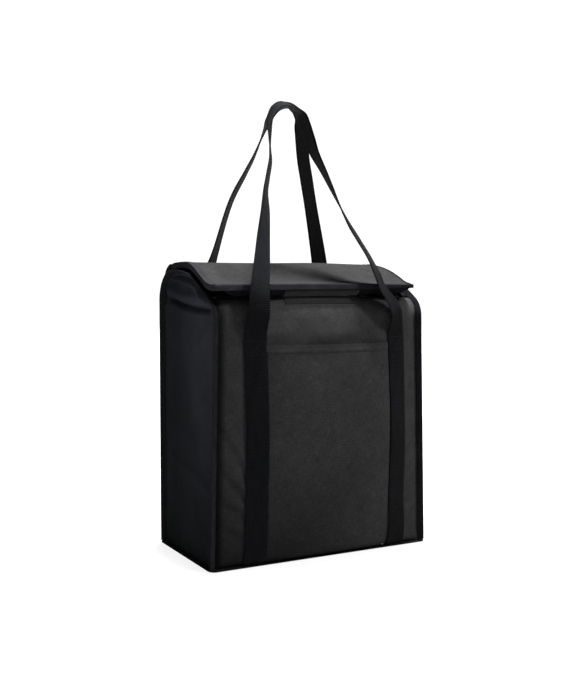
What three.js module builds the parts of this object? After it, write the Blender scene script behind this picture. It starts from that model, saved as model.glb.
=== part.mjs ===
// Insulated cooler tote bag with a flap lid and two webbing handles.
// Millimetres, +Z up, front towards -Y, origin at the middle of the underside.
import * as THREE from "three";

// Body, measured on the seam lines
const FOOT_HALF_WIDTH = 167;
const SHOULDER_NARROWING = 7;
const SHOULDER_HALF_WIDTH = FOOT_HALF_WIDTH - SHOULDER_NARROWING;
const HALF_DEPTH = 88;
const WALL_FOOT = 3.2;
const FRONT_WALL_TOP = 341;
const CORNER_RADIUS = 28;
const LIP_LENGTH = 6;
const FRONT_BULGE = 33;
const BACK_BULGE = 8;
const SIDE_BULGE = 5;
const BULGE_FULLNESS = 2.7;

// Mouth of the body, seen from the side: it slopes up, then curves over to the back
const MOUTH_SLOPE_DEGREES = 31;
const MOUTH_CROWN_RADIUS = 160;
const MOUTH_BACK_FALL_DEGREES = 5;
const MOUTH_BACK_RADIUS = 40;

// Cloth, foam and lining
const CLOTH = 1.2;
const FOAM = 5;
const LINING = 1;
const BOARD = 2.5;
const GAP = 0.3;
const SEWN_GAP = 0.6;

// Binding tape
const FIN_LENGTH = 7.5;
const FIN_THICKNESS = 2.2;
const FIN_OUTWARD = 0.47;
const FIN_STEP = 0.75;
const MOUTH_TAPE = 2.5;

// Lid
const LID_SIDE_OVERHANG = 9;
const LID_FRONT_OVERHANG = 13;
const LID_CORNER = 18;
const LID_CLOTH = 1;
const LID_FOAM = 5;
const LID_TAPE = 3.2;
const LID_TAPE_LIP = 0.4;
const LID_CROWN = 2;
const LID_CROWN_FADE = 45;
const LID_OVER_BACK = 14.5;
const LID_OVER_FRONT = 23.5;
const LID_BEND = 22;
const LID_SETTLE = 86;
const LID_FRONT_RISE = 46.5;
const HINGE_GAP = 0.4;

// Webbing
const WEB_WIDTH = 32;
const WEB_THICKNESS = 2;
const STRAP_X = 114;
const TACK_Z = 316;
const LEG_RISE = 41;
const LEG_LEAN_IN = 4;
const FRONT_LOOP_STANDOFF = 26;
const BACK_LOOP_STANDOFF = 12;
const FRONT_LOOP_TOP = new THREE.Vector3(-12, -19, 650);
const BACK_LOOP_TOP = new THREE.Vector3(0, 19, 645);
const TACK_WIDTH = 26;
const TACK_HEIGHT = 18;
const TACK_THICKNESS = 0.6;
const TACK_MARGIN = 2;

// Pocket and closure
const POCKET_MOUTH_Z = 305;
const POCKET_GAPE = 8;
const POCKET_CLOTH = 1;
const HEM_HEIGHT = 13;
const CLOSURE_HALF_LENGTH = 60;
const CLOSURE_THICKNESS = 1.2;
const LOOP_STRIP_ANGLES = [30, 55];
const HOOK_STRIP_Y = [-95, -77];

const bag = new THREE.Group();

// Materials
const canvas = { color: 0x3b3b3c, roughness: 0.9, metalness: 0 };
const sideCloth = { color: 0x23262a, roughness: 0.85, metalness: 0 };
const tape = { color: 0x1b1c20, roughness: 0.8, metalness: 0 };
const webbing = { color: 0x17181b, roughness: 0.8, metalness: 0 };
const foam = { color: 0xe9e9e6, roughness: 0.95, metalness: 0 };
const foil = { color: 0xb9bcc0, roughness: 0.35, metalness: 0 };
const board = { color: 0x2a2a2c, roughness: 0.6, metalness: 0 };
const hookAndLoop = { color: 0x111113, roughness: 1, metalness: 0 };

const lerp = THREE.MathUtils.lerp;
const clamp = THREE.MathUtils.clamp;
const degrees = THREE.MathUtils.degToRad;

// Adds a named mesh of one closed body, turning its faces outwards.
function addBody(name, look, points, triangles) {
  let volume = 0;
  for (const [a, b, c] of triangles) {
    volume += points[a].dot(new THREE.Vector3().crossVectors(points[b], points[c]));
  }
  const faces = volume < 0 ? triangles.map(([a, b, c]) => [a, c, b]) : triangles;
  const geometry = new THREE.BufferGeometry();
  const numbers = points.flatMap((p) => [p.x, p.y, p.z]);
  geometry.setAttribute("position", new THREE.Float32BufferAttribute(numbers, 3));
  geometry.setIndex(faces.flat());
  geometry.computeVertexNormals();
  const mesh = new THREE.Mesh(geometry, new THREE.MeshStandardMaterial(look));
  mesh.name = name;
  bag.add(mesh);
}

// A sheet with an outer and an inner face, each a function of u and v from 0 to 1.
function addSheet(name, look, across, along, outer, inner) {
  const points = [];
  for (const face of [outer, inner]) {
    for (let j = 0; j <= along; j += 1) {
      for (let i = 0; i <= across; i += 1) points.push(face(i / across, j / along));
    }
  }
  const row = across + 1;
  const under = row * (along + 1);
  const triangles = [];
  const quad = (a, b, c, d) => triangles.push([a, b, c], [a, c, d]);
  for (let j = 0; j < along; j += 1) {
    for (let i = 0; i < across; i += 1) {
      const a = j * row + i;
      quad(a, a + 1, a + row + 1, a + row);
      quad(under + a, under + a + row, under + a + row + 1, under + a + 1);
    }
  }
  for (let i = 0; i < across; i += 1) {
    const last = along * row + i;
    quad(i + 1, i, under + i, under + i + 1);
    quad(last, last + 1, under + last + 1, under + last);
  }
  for (let j = 0; j < along; j += 1) {
    const left = j * row;
    const right = left + across;
    quad(left, left + row, under + left + row, under + left);
    quad(right + row, right, under + right, under + right + row);
  }
  addBody(name, look, points, triangles);
}

// A strip of rectangular section along stations of {at, across, out}; loop closes it on itself.
function addStrip(name, look, stations, width, thickness, loop = false) {
  const points = [];
  const corners = [[-1, -1], [1, -1], [1, 1], [-1, 1]];
  for (const { at, across, out } of stations) {
    for (const [w, t] of corners) {
      points.push(at.clone().addScaledVector(across, (w * width) / 2)
        .addScaledVector(out, (t * thickness) / 2));
    }
  }
  const triangles = [];
  const quad = (a, b, c, d) => triangles.push([a, b, c], [a, c, d]);
  const spans = loop ? stations.length : stations.length - 1;
  for (let j = 0; j < spans; j += 1) {
    const here = 4 * j;
    const next = 4 * ((j + 1) % stations.length);
    for (let k = 0; k < 4; k += 1) {
      const m = (k + 1) % 4;
      quad(here + k, here + m, next + m, next + k);
    }
  }
  if (!loop) {
    const end = 4 * (stations.length - 1);
    quad(3, 2, 1, 0);
    quad(end, end + 1, end + 2, end + 3);
  }
  addBody(name, look, points, triangles);
}

// Half width of the seam lines at a place on the side.
function seamHalfWidth(y, z) {
  const front = lerp(FOOT_HALF_WIDTH, SHOULDER_HALF_WIDTH, clamp(z / FRONT_WALL_TOP, 0, 1));
  return lerp(front, FOOT_HALF_WIDTH, (y + HALF_DEPTH) / (2 * HALF_DEPTH));
}

// Depths of the layers inside the outer face
const FOAM_DEPTH = CLOTH + GAP;
const LINING_DEPTH = FOAM_DEPTH + FOAM + GAP;
const WALL_DEPTH = LINING_DEPTH + LINING;

// Heights of the layers on the bottom
const BOARD_Z = CLOTH + GAP;
const BOTTOM_FOAM_Z = BOARD_Z + BOARD + GAP;
const BOTTOM_LINING_Z = BOTTOM_FOAM_Z + FOAM + GAP;
const WALL_LINING_FOOT = BOTTOM_LINING_Z + LINING + GAP;

const ARC_Y = HALF_DEPTH - CORNER_RADIUS;
const MOUTH_SLOPE = degrees(MOUTH_SLOPE_DEGREES);
const SHOULDER_TURN = Math.PI / 2 - MOUTH_SLOPE;
const CROWN_END_TURN = Math.PI / 2 + degrees(MOUTH_BACK_FALL_DEGREES);

// A turn is 0 where an edge faces front, and half a circle where it faces back.
function facing(turn) {
  return { ny: -Math.cos(turn), nz: Math.sin(turn) };
}

// Arcs of the side's edge over the top: front corner, crown and back corner.
function mouthArcs() {
  const slopeFacing = facing(SHOULDER_TURN);
  const backFacing = facing(CROWN_END_TURN);
  const front = { cy: -ARC_Y, cz: FRONT_WALL_TOP, radius: CORNER_RADIUS, from: 0, to: SHOULDER_TURN };
  const slopeY = front.cy + CORNER_RADIUS * slopeFacing.ny;
  const slopeZ = front.cz + CORNER_RADIUS * slopeFacing.nz;
  const crownReach = MOUTH_CROWN_RADIUS * (backFacing.ny - slopeFacing.ny);
  const cornerReach = MOUTH_BACK_RADIUS * (1 - backFacing.ny);
  const slopeReach = HALF_DEPTH - slopeY - crownReach - cornerReach;
  const crown = {
    cy: slopeY + slopeReach - MOUTH_CROWN_RADIUS * slopeFacing.ny,
    cz: slopeZ + slopeReach * Math.tan(MOUTH_SLOPE) - MOUTH_CROWN_RADIUS * slopeFacing.nz,
    radius: MOUTH_CROWN_RADIUS,
    from: SHOULDER_TURN,
    to: CROWN_END_TURN,
  };
  const back = {
    cy: HALF_DEPTH - MOUTH_BACK_RADIUS,
    cz: crown.cz + (MOUTH_CROWN_RADIUS - MOUTH_BACK_RADIUS) * backFacing.nz,
    radius: MOUTH_BACK_RADIUS,
    from: CROWN_END_TURN,
    to: Math.PI,
  };
  return [front, crown, back];
}

const SIDE_ARCS = mouthArcs();
const CROWN_END_Y = SIDE_ARCS[1].cy + MOUTH_CROWN_RADIUS * facing(CROWN_END_TURN).ny;

// Height of the side's top edge, drawn in by inset.
function sideTop(y, inset) {
  for (const arc of SIDE_ARCS) {
    const radius = arc.radius - inset;
    const starts = arc.from === 0 || y >= arc.cy + radius * facing(arc.from).ny;
    if (starts && (arc.to === Math.PI || y <= arc.cy + radius * facing(arc.to).ny)) {
      return arc.cz + Math.sqrt(Math.max(radius ** 2 - (y - arc.cy) ** 2, 0));
    }
  }
  const { cy, cz, radius } = SIDE_ARCS[0];
  const { ny, nz } = facing(SHOULDER_TURN);
  return cz + (radius - inset) * nz + (y - cy - (radius - inset) * ny) * Math.tan(MOUTH_SLOPE);
}

const BACK_WALL_TOP = sideTop(ARC_Y, 0) + LID_OVER_BACK - CORNER_RADIUS;

// Front wall profile: up, over the shoulder, then a short lip along the mouth.
const FRONT_RISE = FRONT_WALL_TOP - WALL_FOOT;
const FRONT_LENGTH = FRONT_RISE + CORNER_RADIUS * SHOULDER_TURN + LIP_LENGTH;

function frontProfile(s) {
  if (s <= FRONT_RISE) return { y: -HALF_DEPTH, z: WALL_FOOT + s, ny: -1, nz: 0 };
  const turn = Math.min((s - FRONT_RISE) / CORNER_RADIUS, SHOULDER_TURN);
  const ny = -Math.cos(turn);
  const nz = Math.sin(turn);
  const on = Math.max(s - FRONT_RISE - CORNER_RADIUS * SHOULDER_TURN, 0);
  return {
    y: -ARC_Y + CORNER_RADIUS * ny + on * nz,
    z: FRONT_WALL_TOP + CORNER_RADIUS * nz - on * ny,
    ny,
    nz,
  };
}

// Back wall profile: up, then over the top to the lid's hinge line.
const BACK_RISE = BACK_WALL_TOP - WALL_FOOT;
const BACK_LENGTH = BACK_RISE + (CORNER_RADIUS * Math.PI) / 2;

function backProfile(s) {
  if (s <= BACK_RISE) return { y: HALF_DEPTH, z: WALL_FOOT + s, ny: 1, nz: 0 };
  const turn = (s - BACK_RISE) / CORNER_RADIUS;
  const ny = Math.cos(turn);
  const nz = Math.sin(turn);
  return { y: ARC_Y + CORNER_RADIUS * ny, z: BACK_WALL_TOP + CORNER_RADIUS * nz, ny, nz };
}

// Powers shape the bulge: under 1 it fills out fast from that end, over 1 it dies away early.
const frontWall = {
  profile: frontProfile, rise: FRONT_RISE, length: FRONT_LENGTH, bulge: FRONT_BULGE, powers: [0.35, 0.5],
};
const backWall = {
  profile: backProfile, rise: BACK_RISE, length: BACK_LENGTH, bulge: BACK_BULGE, powers: [1, 1],
};

// How far the filled bag pushes a wall out: nothing at its seams, most at its middle.
function fullness(across, along, [footPower, topPower]) {
  const side = 1 - Math.min(Math.abs(across), 1) ** BULGE_FULLNESS;
  const height = Math.max(Math.sin(Math.PI * clamp(along, 0, 1)), 0);
  return side * height ** (along < 0.5 ? footPower : topPower);
}

// A point of a front or back wall, at depth inside its outer face.
function wallPoint(wall, x, s, depth) {
  const p = wall.profile(s);
  const across = x / seamHalfWidth(p.y, p.z);
  const out = wall.bulge * fullness(across, s / wall.length, wall.powers) - depth;
  return new THREE.Vector3(x, p.y + p.ny * out, p.z + p.nz * out);
}

// Facets of a wall: rows up it, closer together at the foot, and columns across it.
const COLUMNS = 14;
const EDGE_COLUMN = 10;
const STRAIGHT_ROWS = 8;
const CURVED_ROWS = 5;
const ROW_CROWDING = 1.3;

function wallRows(wall) {
  const rows = [0, BOTTOM_FOAM_Z - WALL_FOOT, WALL_LINING_FOOT - WALL_FOOT];
  for (let i = 1; i <= STRAIGHT_ROWS; i += 1) {
    rows.push(lerp(rows[2], wall.rise, (i / STRAIGHT_ROWS) ** ROW_CROWDING));
  }
  for (let i = 1; i <= CURVED_ROWS; i += 1) {
    rows.push(lerp(wall.rise, wall.length, i / CURVED_ROWS));
  }
  return rows;
}

frontWall.rows = wallRows(frontWall);
backWall.rows = wallRows(backWall);

// Where column m crosses a row whose seams lie at plus and minus seam.
function columnX(m, seam) {
  if (m === 0) return -seam;
  if (m === COLUMNS) return seam;
  return lerp(EDGE_COLUMN - seam, seam - EDGE_COLUMN, (m - 1) / (COLUMNS - 2));
}

// A point on the facets of a wall, so that what lies on the wall fits its facets.
function facetPoint(wall, x, s, depth) {
  const rows = wall.rows;
  let j = 0;
  while (j < rows.length - 2 && rows[j + 1] <= s) j += 1;
  const up = clamp((s - rows[j]) / (rows[j + 1] - rows[j]), 0, 1);
  const seamAt = (row) => seamHalfWidth(wall.profile(row).y, wall.profile(row).z);
  const seam = lerp(seamAt(rows[j]), seamAt(rows[j + 1]), up);
  let i = 0;
  while (i < COLUMNS - 1 && columnX(i + 1, seam) <= x) i += 1;
  const over = clamp((x - columnX(i, seam)) / (columnX(i + 1, seam) - columnX(i, seam)), 0, 1);
  const node = (m, n) => {
    const row = rows[n];
    return wallPoint(wall, columnX(m, seamAt(row)), row, depth);
  };
  const low = node(i, j);
  const high = node(i + 1, j + 1);
  const corner = over > up ? node(i + 1, j) : node(i, j + 1);
  const [first, second] = over > up ? [over, up] : [up, over];
  return low.clone().multiplyScalar(1 - first).addScaledVector(corner, first - second)
    .addScaledVector(high, second);
}

// A sheet on a wall from row low to row high; xAt gives x for u, outer and inner give depths.
function addWallSheet(name, look, wall, columns, low, high, xAt, outer, inner) {
  const rows = [low, ...wall.rows.filter((s) => s > low + 1e-6 && s < high - 1e-6), high];
  const last = rows.length - 1;
  const face = (depthAt) => (u, v) => {
    const s = rows[Math.round(v * last)];
    const x = xAt(u, s);
    return facetPoint(wall, x, s, depthAt(x, s));
  };
  addSheet(name, look, columns, last, face(outer), face(inner));
}

// One layer of a front or back wall between two depths, short of the seams by edge.
function addWallLayer(name, look, wall, depth, thickness, edge, foot) {
  const xAt = (u, s) => {
    const p = wall.profile(s);
    const seam = seamHalfWidth(p.y, p.z);
    return clamp(columnX(Math.round(u * COLUMNS), seam), edge - seam, seam - edge);
  };
  addWallSheet(name, look, wall, COLUMNS, foot - WALL_FOOT, wall.length, xAt,
    () => depth, () => depth + thickness);
}

const SIDE_COLUMNS = 12;
const SIDE_ROWS = 7;

// One layer of a side wall; side is -1 on the left and 1 on the right.
function addSideLayer(name, look, side, depth, thickness, inset, foot) {
  const face = (d) => (u, v) => {
    const y = -Math.cos(Math.PI * u) * (HALF_DEPTH - inset);
    const z = lerp(foot, sideTop(y, inset), v);
    const along = (z - WALL_FOOT) / (sideTop(y, 0) - WALL_FOOT);
    const out = SIDE_BULGE * fullness(y / HALF_DEPTH, along, [1, 1]) - d;
    return new THREE.Vector3(side * (seamHalfWidth(y, z) + out), y, z);
  };
  addSheet(name, look, SIDE_COLUMNS, SIDE_ROWS, face(depth), face(depth + thickness));
}

function addFlat(name, look, halfX, halfY, low, thickness) {
  const face = (z) => (u, v) => new THREE.Vector3(lerp(-halfX, halfX, u), lerp(-halfY, halfY, v), z);
  addSheet(name, look, 1, 1, face(low + thickness), face(low));
}

function makeWalls() {
  for (const [name, wall] of [["front", frontWall], ["back", backWall]]) {
    addWallLayer(`${name}_panel`, canvas, wall, 0, CLOTH, 0, WALL_FOOT);
    addWallLayer(`${name}_insulation`, foam, wall, FOAM_DEPTH, FOAM, FOAM_DEPTH, BOTTOM_FOAM_Z);
    addWallLayer(`${name}_lining`, foil, wall, LINING_DEPTH, LINING, LINING_DEPTH, WALL_LINING_FOOT);
  }
  for (const [name, side] of [["left", -1], ["right", 1]]) {
    addSideLayer(`${name}_side_panel`, sideCloth, side, 0, CLOTH, FOAM_DEPTH, WALL_FOOT);
    addSideLayer(`${name}_insulation`, foam, side, FOAM_DEPTH, FOAM, LINING_DEPTH, BOTTOM_FOAM_Z);
    addSideLayer(`${name}_lining`, foil, side, LINING_DEPTH, LINING, WALL_DEPTH + GAP, WALL_LINING_FOOT);
  }
}

function makeBottom() {
  addFlat("bottom_panel", canvas, FOOT_HALF_WIDTH - GAP, HALF_DEPTH - GAP, 0, CLOTH);
  const inside = CLOTH + 2 * GAP;
  addFlat("base_board", board, FOOT_HALF_WIDTH - inside, HALF_DEPTH - inside, BOARD_Z, BOARD);
  const lined = LINING_DEPTH + 2 * GAP;
  addFlat("bottom_insulation", foam, FOOT_HALF_WIDTH - lined, HALF_DEPTH - lined, BOTTOM_FOAM_Z, FOAM);
  addFlat("bottom_lining", foil, FOOT_HALF_WIDTH - lined, HALF_DEPTH - lined, BOTTOM_LINING_Z, LINING);
}

// The side's outline from the front foot, over the top, to the back foot.
const EDGE_ROWS = 6;
const ARC_STEPS = [8, 6, 10];

function sideOutline() {
  const places = [];
  const [front, , back] = SIDE_ARCS;
  for (let i = 0; i < EDGE_ROWS; i += 1) {
    places.push([-HALF_DEPTH, lerp(WALL_FOOT, front.cz, i / EDGE_ROWS), -1, 0]);
  }
  SIDE_ARCS.forEach((arc, k) => {
    for (let i = 0; i <= ARC_STEPS[k]; i += 1) {
      if (k === 2 && i === 0) continue;
      const { ny, nz } = facing(lerp(arc.from, arc.to, i / ARC_STEPS[k]));
      places.push([arc.cy + arc.radius * ny, arc.cz + arc.radius * nz, ny, nz]);
    }
  });
  for (let i = 1; i <= EDGE_ROWS; i += 1) {
    places.push([HALF_DEPTH, lerp(back.cz, WALL_FOOT, i / EDGE_ROWS), 1, 0]);
  }
  return places;
}

// Tape over the seam of a side with the front, the mouth and the back, standing out as a fin.
function makeSeamBindings() {
  const sideways = Math.sqrt(1 - FIN_OUTWARD ** 2);
  for (const [name, side] of [["left", -1], ["right", 1]]) {
    const stations = sideOutline().map(([y, z, ny, nz]) => {
      const across = new THREE.Vector3(side * sideways, FIN_OUTWARD * ny, FIN_OUTWARD * nz);
      const out = new THREE.Vector3(-side * FIN_OUTWARD, sideways * ny, sideways * nz);
      const at = new THREE.Vector3(side * seamHalfWidth(y, z), y, z);
      at.addScaledVector(across, FIN_STEP + FIN_LENGTH / 2);
      return { at, across, out };
    });
    addStrip(`${name}_seam_binding`, tape, stations, FIN_LENGTH, FIN_THICKNESS);
  }
}

const BOTTOM_CORNER = 2;
const BOTTOM_CORNER_STEPS = 3;

// Tape round the bottom seam, standing out level just above the floor.
function makeBottomBinding() {
  const reach = BOTTOM_CORNER + FIN_STEP + FIN_LENGTH / 2;
  const stations = [];
  for (const [sx, sy, start] of [[1, -1, -90], [1, 1, 0], [-1, 1, 90], [-1, -1, 180]]) {
    const cornerX = sx * (FOOT_HALF_WIDTH - BOTTOM_CORNER);
    const cornerY = sy * (HALF_DEPTH - BOTTOM_CORNER);
    for (let i = 0; i <= BOTTOM_CORNER_STEPS; i += 1) {
      const a = degrees(start + (90 * i) / BOTTOM_CORNER_STEPS);
      const across = new THREE.Vector3(Math.cos(a), Math.sin(a), 0);
      const at = new THREE.Vector3(cornerX, cornerY, WALL_FOOT / 2).addScaledVector(across, reach);
      stations.push({ at, across, out: new THREE.Vector3(0, 0, 1) });
    }
  }
  addStrip("bottom_binding", tape, stations, FIN_LENGTH, FIN_THICKNESS, true);
}

// Tape over the ends of the layers round the mouth.
function makeMouthBindings() {
  const reach = SHOULDER_HALF_WIDTH - LINING_DEPTH;
  const from = FRONT_LENGTH + GAP;
  const face = (depth) => (u, v) => {
    const p = frontProfile(lerp(from, from + MOUTH_TAPE, v));
    return new THREE.Vector3(lerp(-reach, reach, u), p.y - p.ny * depth, p.z - p.nz * depth);
  };
  addSheet("front_mouth_binding", tape, 6, 1, face(0), face(WALL_DEPTH));
  const frontEnd = frontProfile(from + MOUTH_TAPE);
  const start = frontEnd.y - frontEnd.ny * WALL_DEPTH + 2 * GAP;
  for (const [name, side] of [["left", -1], ["right", 1]]) {
    const edge = (inset) => (u, v) => {
      const y = lerp(start, CROWN_END_Y, v);
      const z = sideTop(y, inset);
      const x = seamHalfWidth(y, z) - lerp(FOAM_DEPTH, WALL_DEPTH, u);
      return new THREE.Vector3(side * x, y, z);
    };
    addSheet(`${name}_mouth_binding`, tape, 1, 6, edge(GAP), edge(LINING_DEPTH - GAP));
  }
}

const LID_HALF_WIDTH = SHOULDER_HALF_WIDTH + LID_SIDE_OVERHANG;
const LID_FRONT = HALF_DEPTH + LID_FRONT_OVERHANG;

// Height of the lid's outer face at a depth y, at the lid's side edge.
function lidEdgeTop(y) {
  const bend = LID_BEND - HALF_DEPTH;
  const over = (depth) => {
    const settled = clamp((depth - bend) / LID_SETTLE, 0, 1);
    return sideTop(depth, 0) + lerp(LID_OVER_FRONT, LID_OVER_BACK, settled);
  };
  if (y > bend) return over(y);
  const t = (bend - y) / (LID_FRONT + bend);
  return lerp(over(bend), FRONT_WALL_TOP + LID_FRONT_RISE, 2 * t - t * t);
}

const LID_BACK = ARC_Y - HINGE_GAP;

function lidPoint(x, y, depth) {
  const towardsHinge = clamp((LID_BACK - y) / LID_CROWN_FADE, 0, 1);
  const crown = LID_CROWN * (1 - (x / LID_HALF_WIDTH) ** 2) * towardsHinge;
  return new THREE.Vector3(x, y, lidEdgeTop(y) + crown - depth);
}

// Half width of the lid's outline at a depth y, inside the tape by inset.
function lidReach(y, inset) {
  const radius = LID_CORNER - inset;
  const into = LID_FRONT - LID_CORNER + y;
  const cut = into < 0 ? radius - Math.sqrt(Math.max(radius ** 2 - into ** 2, 0)) : 0;
  return LID_HALF_WIDTH - inset - cut;
}

// Share of the lid's rows that round its front corners
const LID_CORNER_SHARE = 0.3;
const LID_COLUMNS = 8;
const LID_ROWS = 10;

function addLidLayer(name, look, depth, thickness) {
  const inset = LID_TAPE + GAP;
  const front = -LID_FRONT + inset;
  const straight = -LID_FRONT + LID_CORNER;
  const rowY = (v) => {
    const round = 1 - Math.cos((Math.PI / 2) * (v / LID_CORNER_SHARE));
    if (v < LID_CORNER_SHARE) return front + (LID_CORNER - inset) * round;
    return lerp(straight, LID_BACK, (v - LID_CORNER_SHARE) / (1 - LID_CORNER_SHARE));
  };
  const face = (d) => (u, v) => {
    const y = rowY(v);
    return lidPoint(lerp(-1, 1, u) * lidReach(y, inset), y, d);
  };
  addSheet(name, look, LID_COLUMNS, LID_ROWS, face(depth), face(depth + thickness));
}

const LID_LINING_DEPTH = LID_CLOTH + LID_FOAM + 2 * GAP;
const LID_DEPTH = LID_LINING_DEPTH + LINING;

const LID_EDGE_STEPS = 10;
const LID_CORNER_STEPS = 5;

// Places on the lid's outline, halfway through its tape.
function lidOutline() {
  const inset = LID_TAPE / 2;
  const places = [];
  const radius = LID_CORNER - inset;
  for (const side of [-1, 1]) {
    const run = [];
    for (let i = 0; i < LID_EDGE_STEPS; i += 1) {
      const y = lerp(LID_BACK - GAP, -LID_FRONT + LID_CORNER, i / LID_EDGE_STEPS);
      run.push([side * (LID_HALF_WIDTH - inset), y, side, 0]);
    }
    for (let i = 0; i <= LID_CORNER_STEPS; i += 1) {
      const a = (Math.PI / 2) * (i / LID_CORNER_STEPS);
      run.push([
        side * (LID_HALF_WIDTH - LID_CORNER + radius * Math.cos(a)),
        -LID_FRONT + LID_CORNER - radius * Math.sin(a),
        side * Math.cos(a),
        -Math.sin(a),
      ]);
    }
    for (let i = 1; i < LID_CORNER_STEPS; i += 1) {
      const x = lerp(LID_HALF_WIDTH - LID_CORNER, 0, i / LID_CORNER_STEPS);
      run.push([side * x, -LID_FRONT + inset, 0, -1]);
    }
    places.push(run);
  }
  return [...places[0], [0, -LID_FRONT + inset, 0, -1], ...places[1].reverse()];
}

function makeLid() {
  addLidLayer("lid_cover", canvas, 0, LID_CLOTH);
  addLidLayer("lid_insulation", foam, LID_CLOTH + GAP, LID_FOAM);
  addLidLayer("lid_lining", foil, LID_LINING_DEPTH, LINING);
  const height = LID_DEPTH + 2 * LID_TAPE_LIP;
  const stations = lidOutline().map(([x, y, nx, ny]) => ({
    at: lidPoint(x, y, height / 2 - LID_TAPE_LIP),
    across: new THREE.Vector3(nx, ny, 0),
    out: new THREE.Vector3(0, 0, 1),
  }));
  addStrip("lid_binding", tape, stations, LID_TAPE, height);
}

// Hook strip under the lid's front and loop strip on the shoulder below it.
function makeClosure() {
  const [near, far] = HOOK_STRIP_Y;
  const hook = (depth) => (u, v) =>
    lidPoint(lerp(-CLOSURE_HALF_LENGTH, CLOSURE_HALF_LENGTH, u), lerp(near, far, v), depth);
  const hookDepth = LID_DEPTH + GAP;
  addSheet("hook_strip", hookAndLoop, 6, 4, hook(hookDepth), hook(hookDepth + CLOSURE_THICKNESS));
  const [low, high] = LOOP_STRIP_ANGLES.map((a) => FRONT_RISE + CORNER_RADIUS * degrees(a));
  const xAt = (u) => lerp(-CLOSURE_HALF_LENGTH, CLOSURE_HALF_LENGTH, u);
  addWallSheet("loop_strip", hookAndLoop, frontWall, 8, low, high, xAt,
    () => -GAP - CLOSURE_THICKNESS, () => -GAP);
}

// Slip pocket between the front straps, standing away from the panel at its mouth.
function pocketGap(x, s) {
  const half = STRAP_X - WEB_WIDTH / 2;
  const side = 1 - Math.min(Math.abs(x) / half, 1) ** 4;
  const height = clamp(s / (POCKET_MOUTH_Z - WALL_FOOT), 0, 1);
  return SEWN_GAP + POCKET_GAPE * side * Math.sin((Math.PI / 2) * height);
}

function makePocket() {
  const half = STRAP_X - WEB_WIDTH / 2 - GAP;
  const mouth = POCKET_MOUTH_Z - WALL_FOOT;
  const xAt = (u) => lerp(-half, half, u);
  const over = (extra) => (x, s) => -pocketGap(x, s) - extra;
  addWallSheet("pocket_panel", canvas, frontWall, 16, 0, mouth, xAt, over(POCKET_CLOTH), over(0));
  const hemIn = POCKET_CLOTH + GAP;
  addWallSheet("pocket_hem", canvas, frontWall, 16, mouth - HEM_HEIGHT, mouth, xAt,
    over(hemIn + POCKET_CLOTH), over(hemIn));
}

const STRAP_DEPTH = -SEWN_GAP - WEB_THICKNESS;
const LOOP_FOOT_Z = TACK_Z + LEG_RISE;
const FRONT_LOOP_FOOT_Y = -HALF_DEPTH - FRONT_LOOP_STANDOFF;
const BACK_LOOP_FOOT_Y = HALF_DEPTH + BACK_LOOP_STANDOFF;

// Webbing stitched to a wall, from the bottom seam to the stitching under the handle.
function makeStraps() {
  const top = TACK_Z - WALL_FOOT - GAP;
  const tackTop = top - TACK_MARGIN;
  for (const [wallName, wall] of [["front", frontWall], ["back", backWall]]) {
    for (const [sideName, side] of [["left", -1], ["right", 1]]) {
      const band = (width) => (u) => side * STRAP_X + lerp(-width / 2, width / 2, u);
      const name = `${wallName}_${sideName}`;
      addWallSheet(`${name}_strap`, webbing, wall, 4, 0, top, band(WEB_WIDTH),
        () => STRAP_DEPTH, () => -SEWN_GAP);
      addWallSheet(`${name}_bar_tack`, webbing, wall, 4, tackTop - TACK_HEIGHT, tackTop, band(TACK_WIDTH),
        () => STRAP_DEPTH - GAP - TACK_THICKNESS, () => STRAP_DEPTH - GAP);
    }
  }
}

// Where the free webbing leaves the stitching, on the strap's outer face.
function legFoot(wall, side) {
  return facetPoint(wall, side * STRAP_X, TACK_Z - WALL_FOOT, STRAP_DEPTH);
}

// How far a strap's width is turned from level by the bulge of its wall, in degrees.
function strapTurn(wall, side) {
  const edge = (x) => facetPoint(wall, side * STRAP_X + x, TACK_Z - WALL_FOOT, STRAP_DEPTH);
  const across = edge(WEB_WIDTH / 2).sub(edge(-WEB_WIDTH / 2));
  return THREE.MathUtils.radToDeg(Math.atan2(across.y, across.x));
}

// Stations along a smooth way through points, each with its turn from level in degrees.
// Both ends are cut level, where the webbing meets its neighbour.
function stationsAlong(points, turns, steps) {
  const path = new THREE.CatmullRomCurve3(points, false, "centripetal");
  const stations = [];
  for (let i = 0; i <= steps; i += 1) {
    const t = i / steps;
    const spot = t * (turns.length - 1);
    const low = Math.min(Math.floor(spot), turns.length - 2);
    const turn = degrees(lerp(turns[low], turns[low + 1], spot - low));
    const tangent = path.getTangent(t);
    if (i === 0 || i === steps) tangent.set(0, 0, Math.sign(tangent.z));
    const level = new THREE.Vector3(Math.cos(turn), Math.sin(turn), 0);
    const out = new THREE.Vector3().crossVectors(level, tangent).normalize();
    const across = new THREE.Vector3().crossVectors(tangent, out).normalize();
    stations.push({ at: path.getPoint(t), across, out });
  }
  return stations;
}

// Short free webbing between the stitching and the loop.
function makeLegs() {
  const sets = [["front", frontWall, FRONT_LOOP_FOOT_Y, -1], ["back", backWall, BACK_LOOP_FOOT_Y, 1]];
  for (const [wallName, wall, loopY, outwards] of sets) {
    for (const [sideName, side] of [["left", -1], ["right", 1]]) {
      const foot = legFoot(wall, side);
      foot.y -= outwards * (WEB_THICKNESS / 2 - GAP);
      foot.z += GAP;
      const head = new THREE.Vector3(side * (STRAP_X - LEG_LEAN_IN), loopY, LOOP_FOOT_Z - GAP);
      const middle = foot.clone().lerp(head, 0.5);
      const stations = stationsAlong([foot, middle, head], [strapTurn(wall, side), 0], 4);
      addStrip(`${wallName}_${sideName}_leg`, webbing, stations, WEB_WIDTH, WEB_THICKNESS);
    }
  }
}

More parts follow.
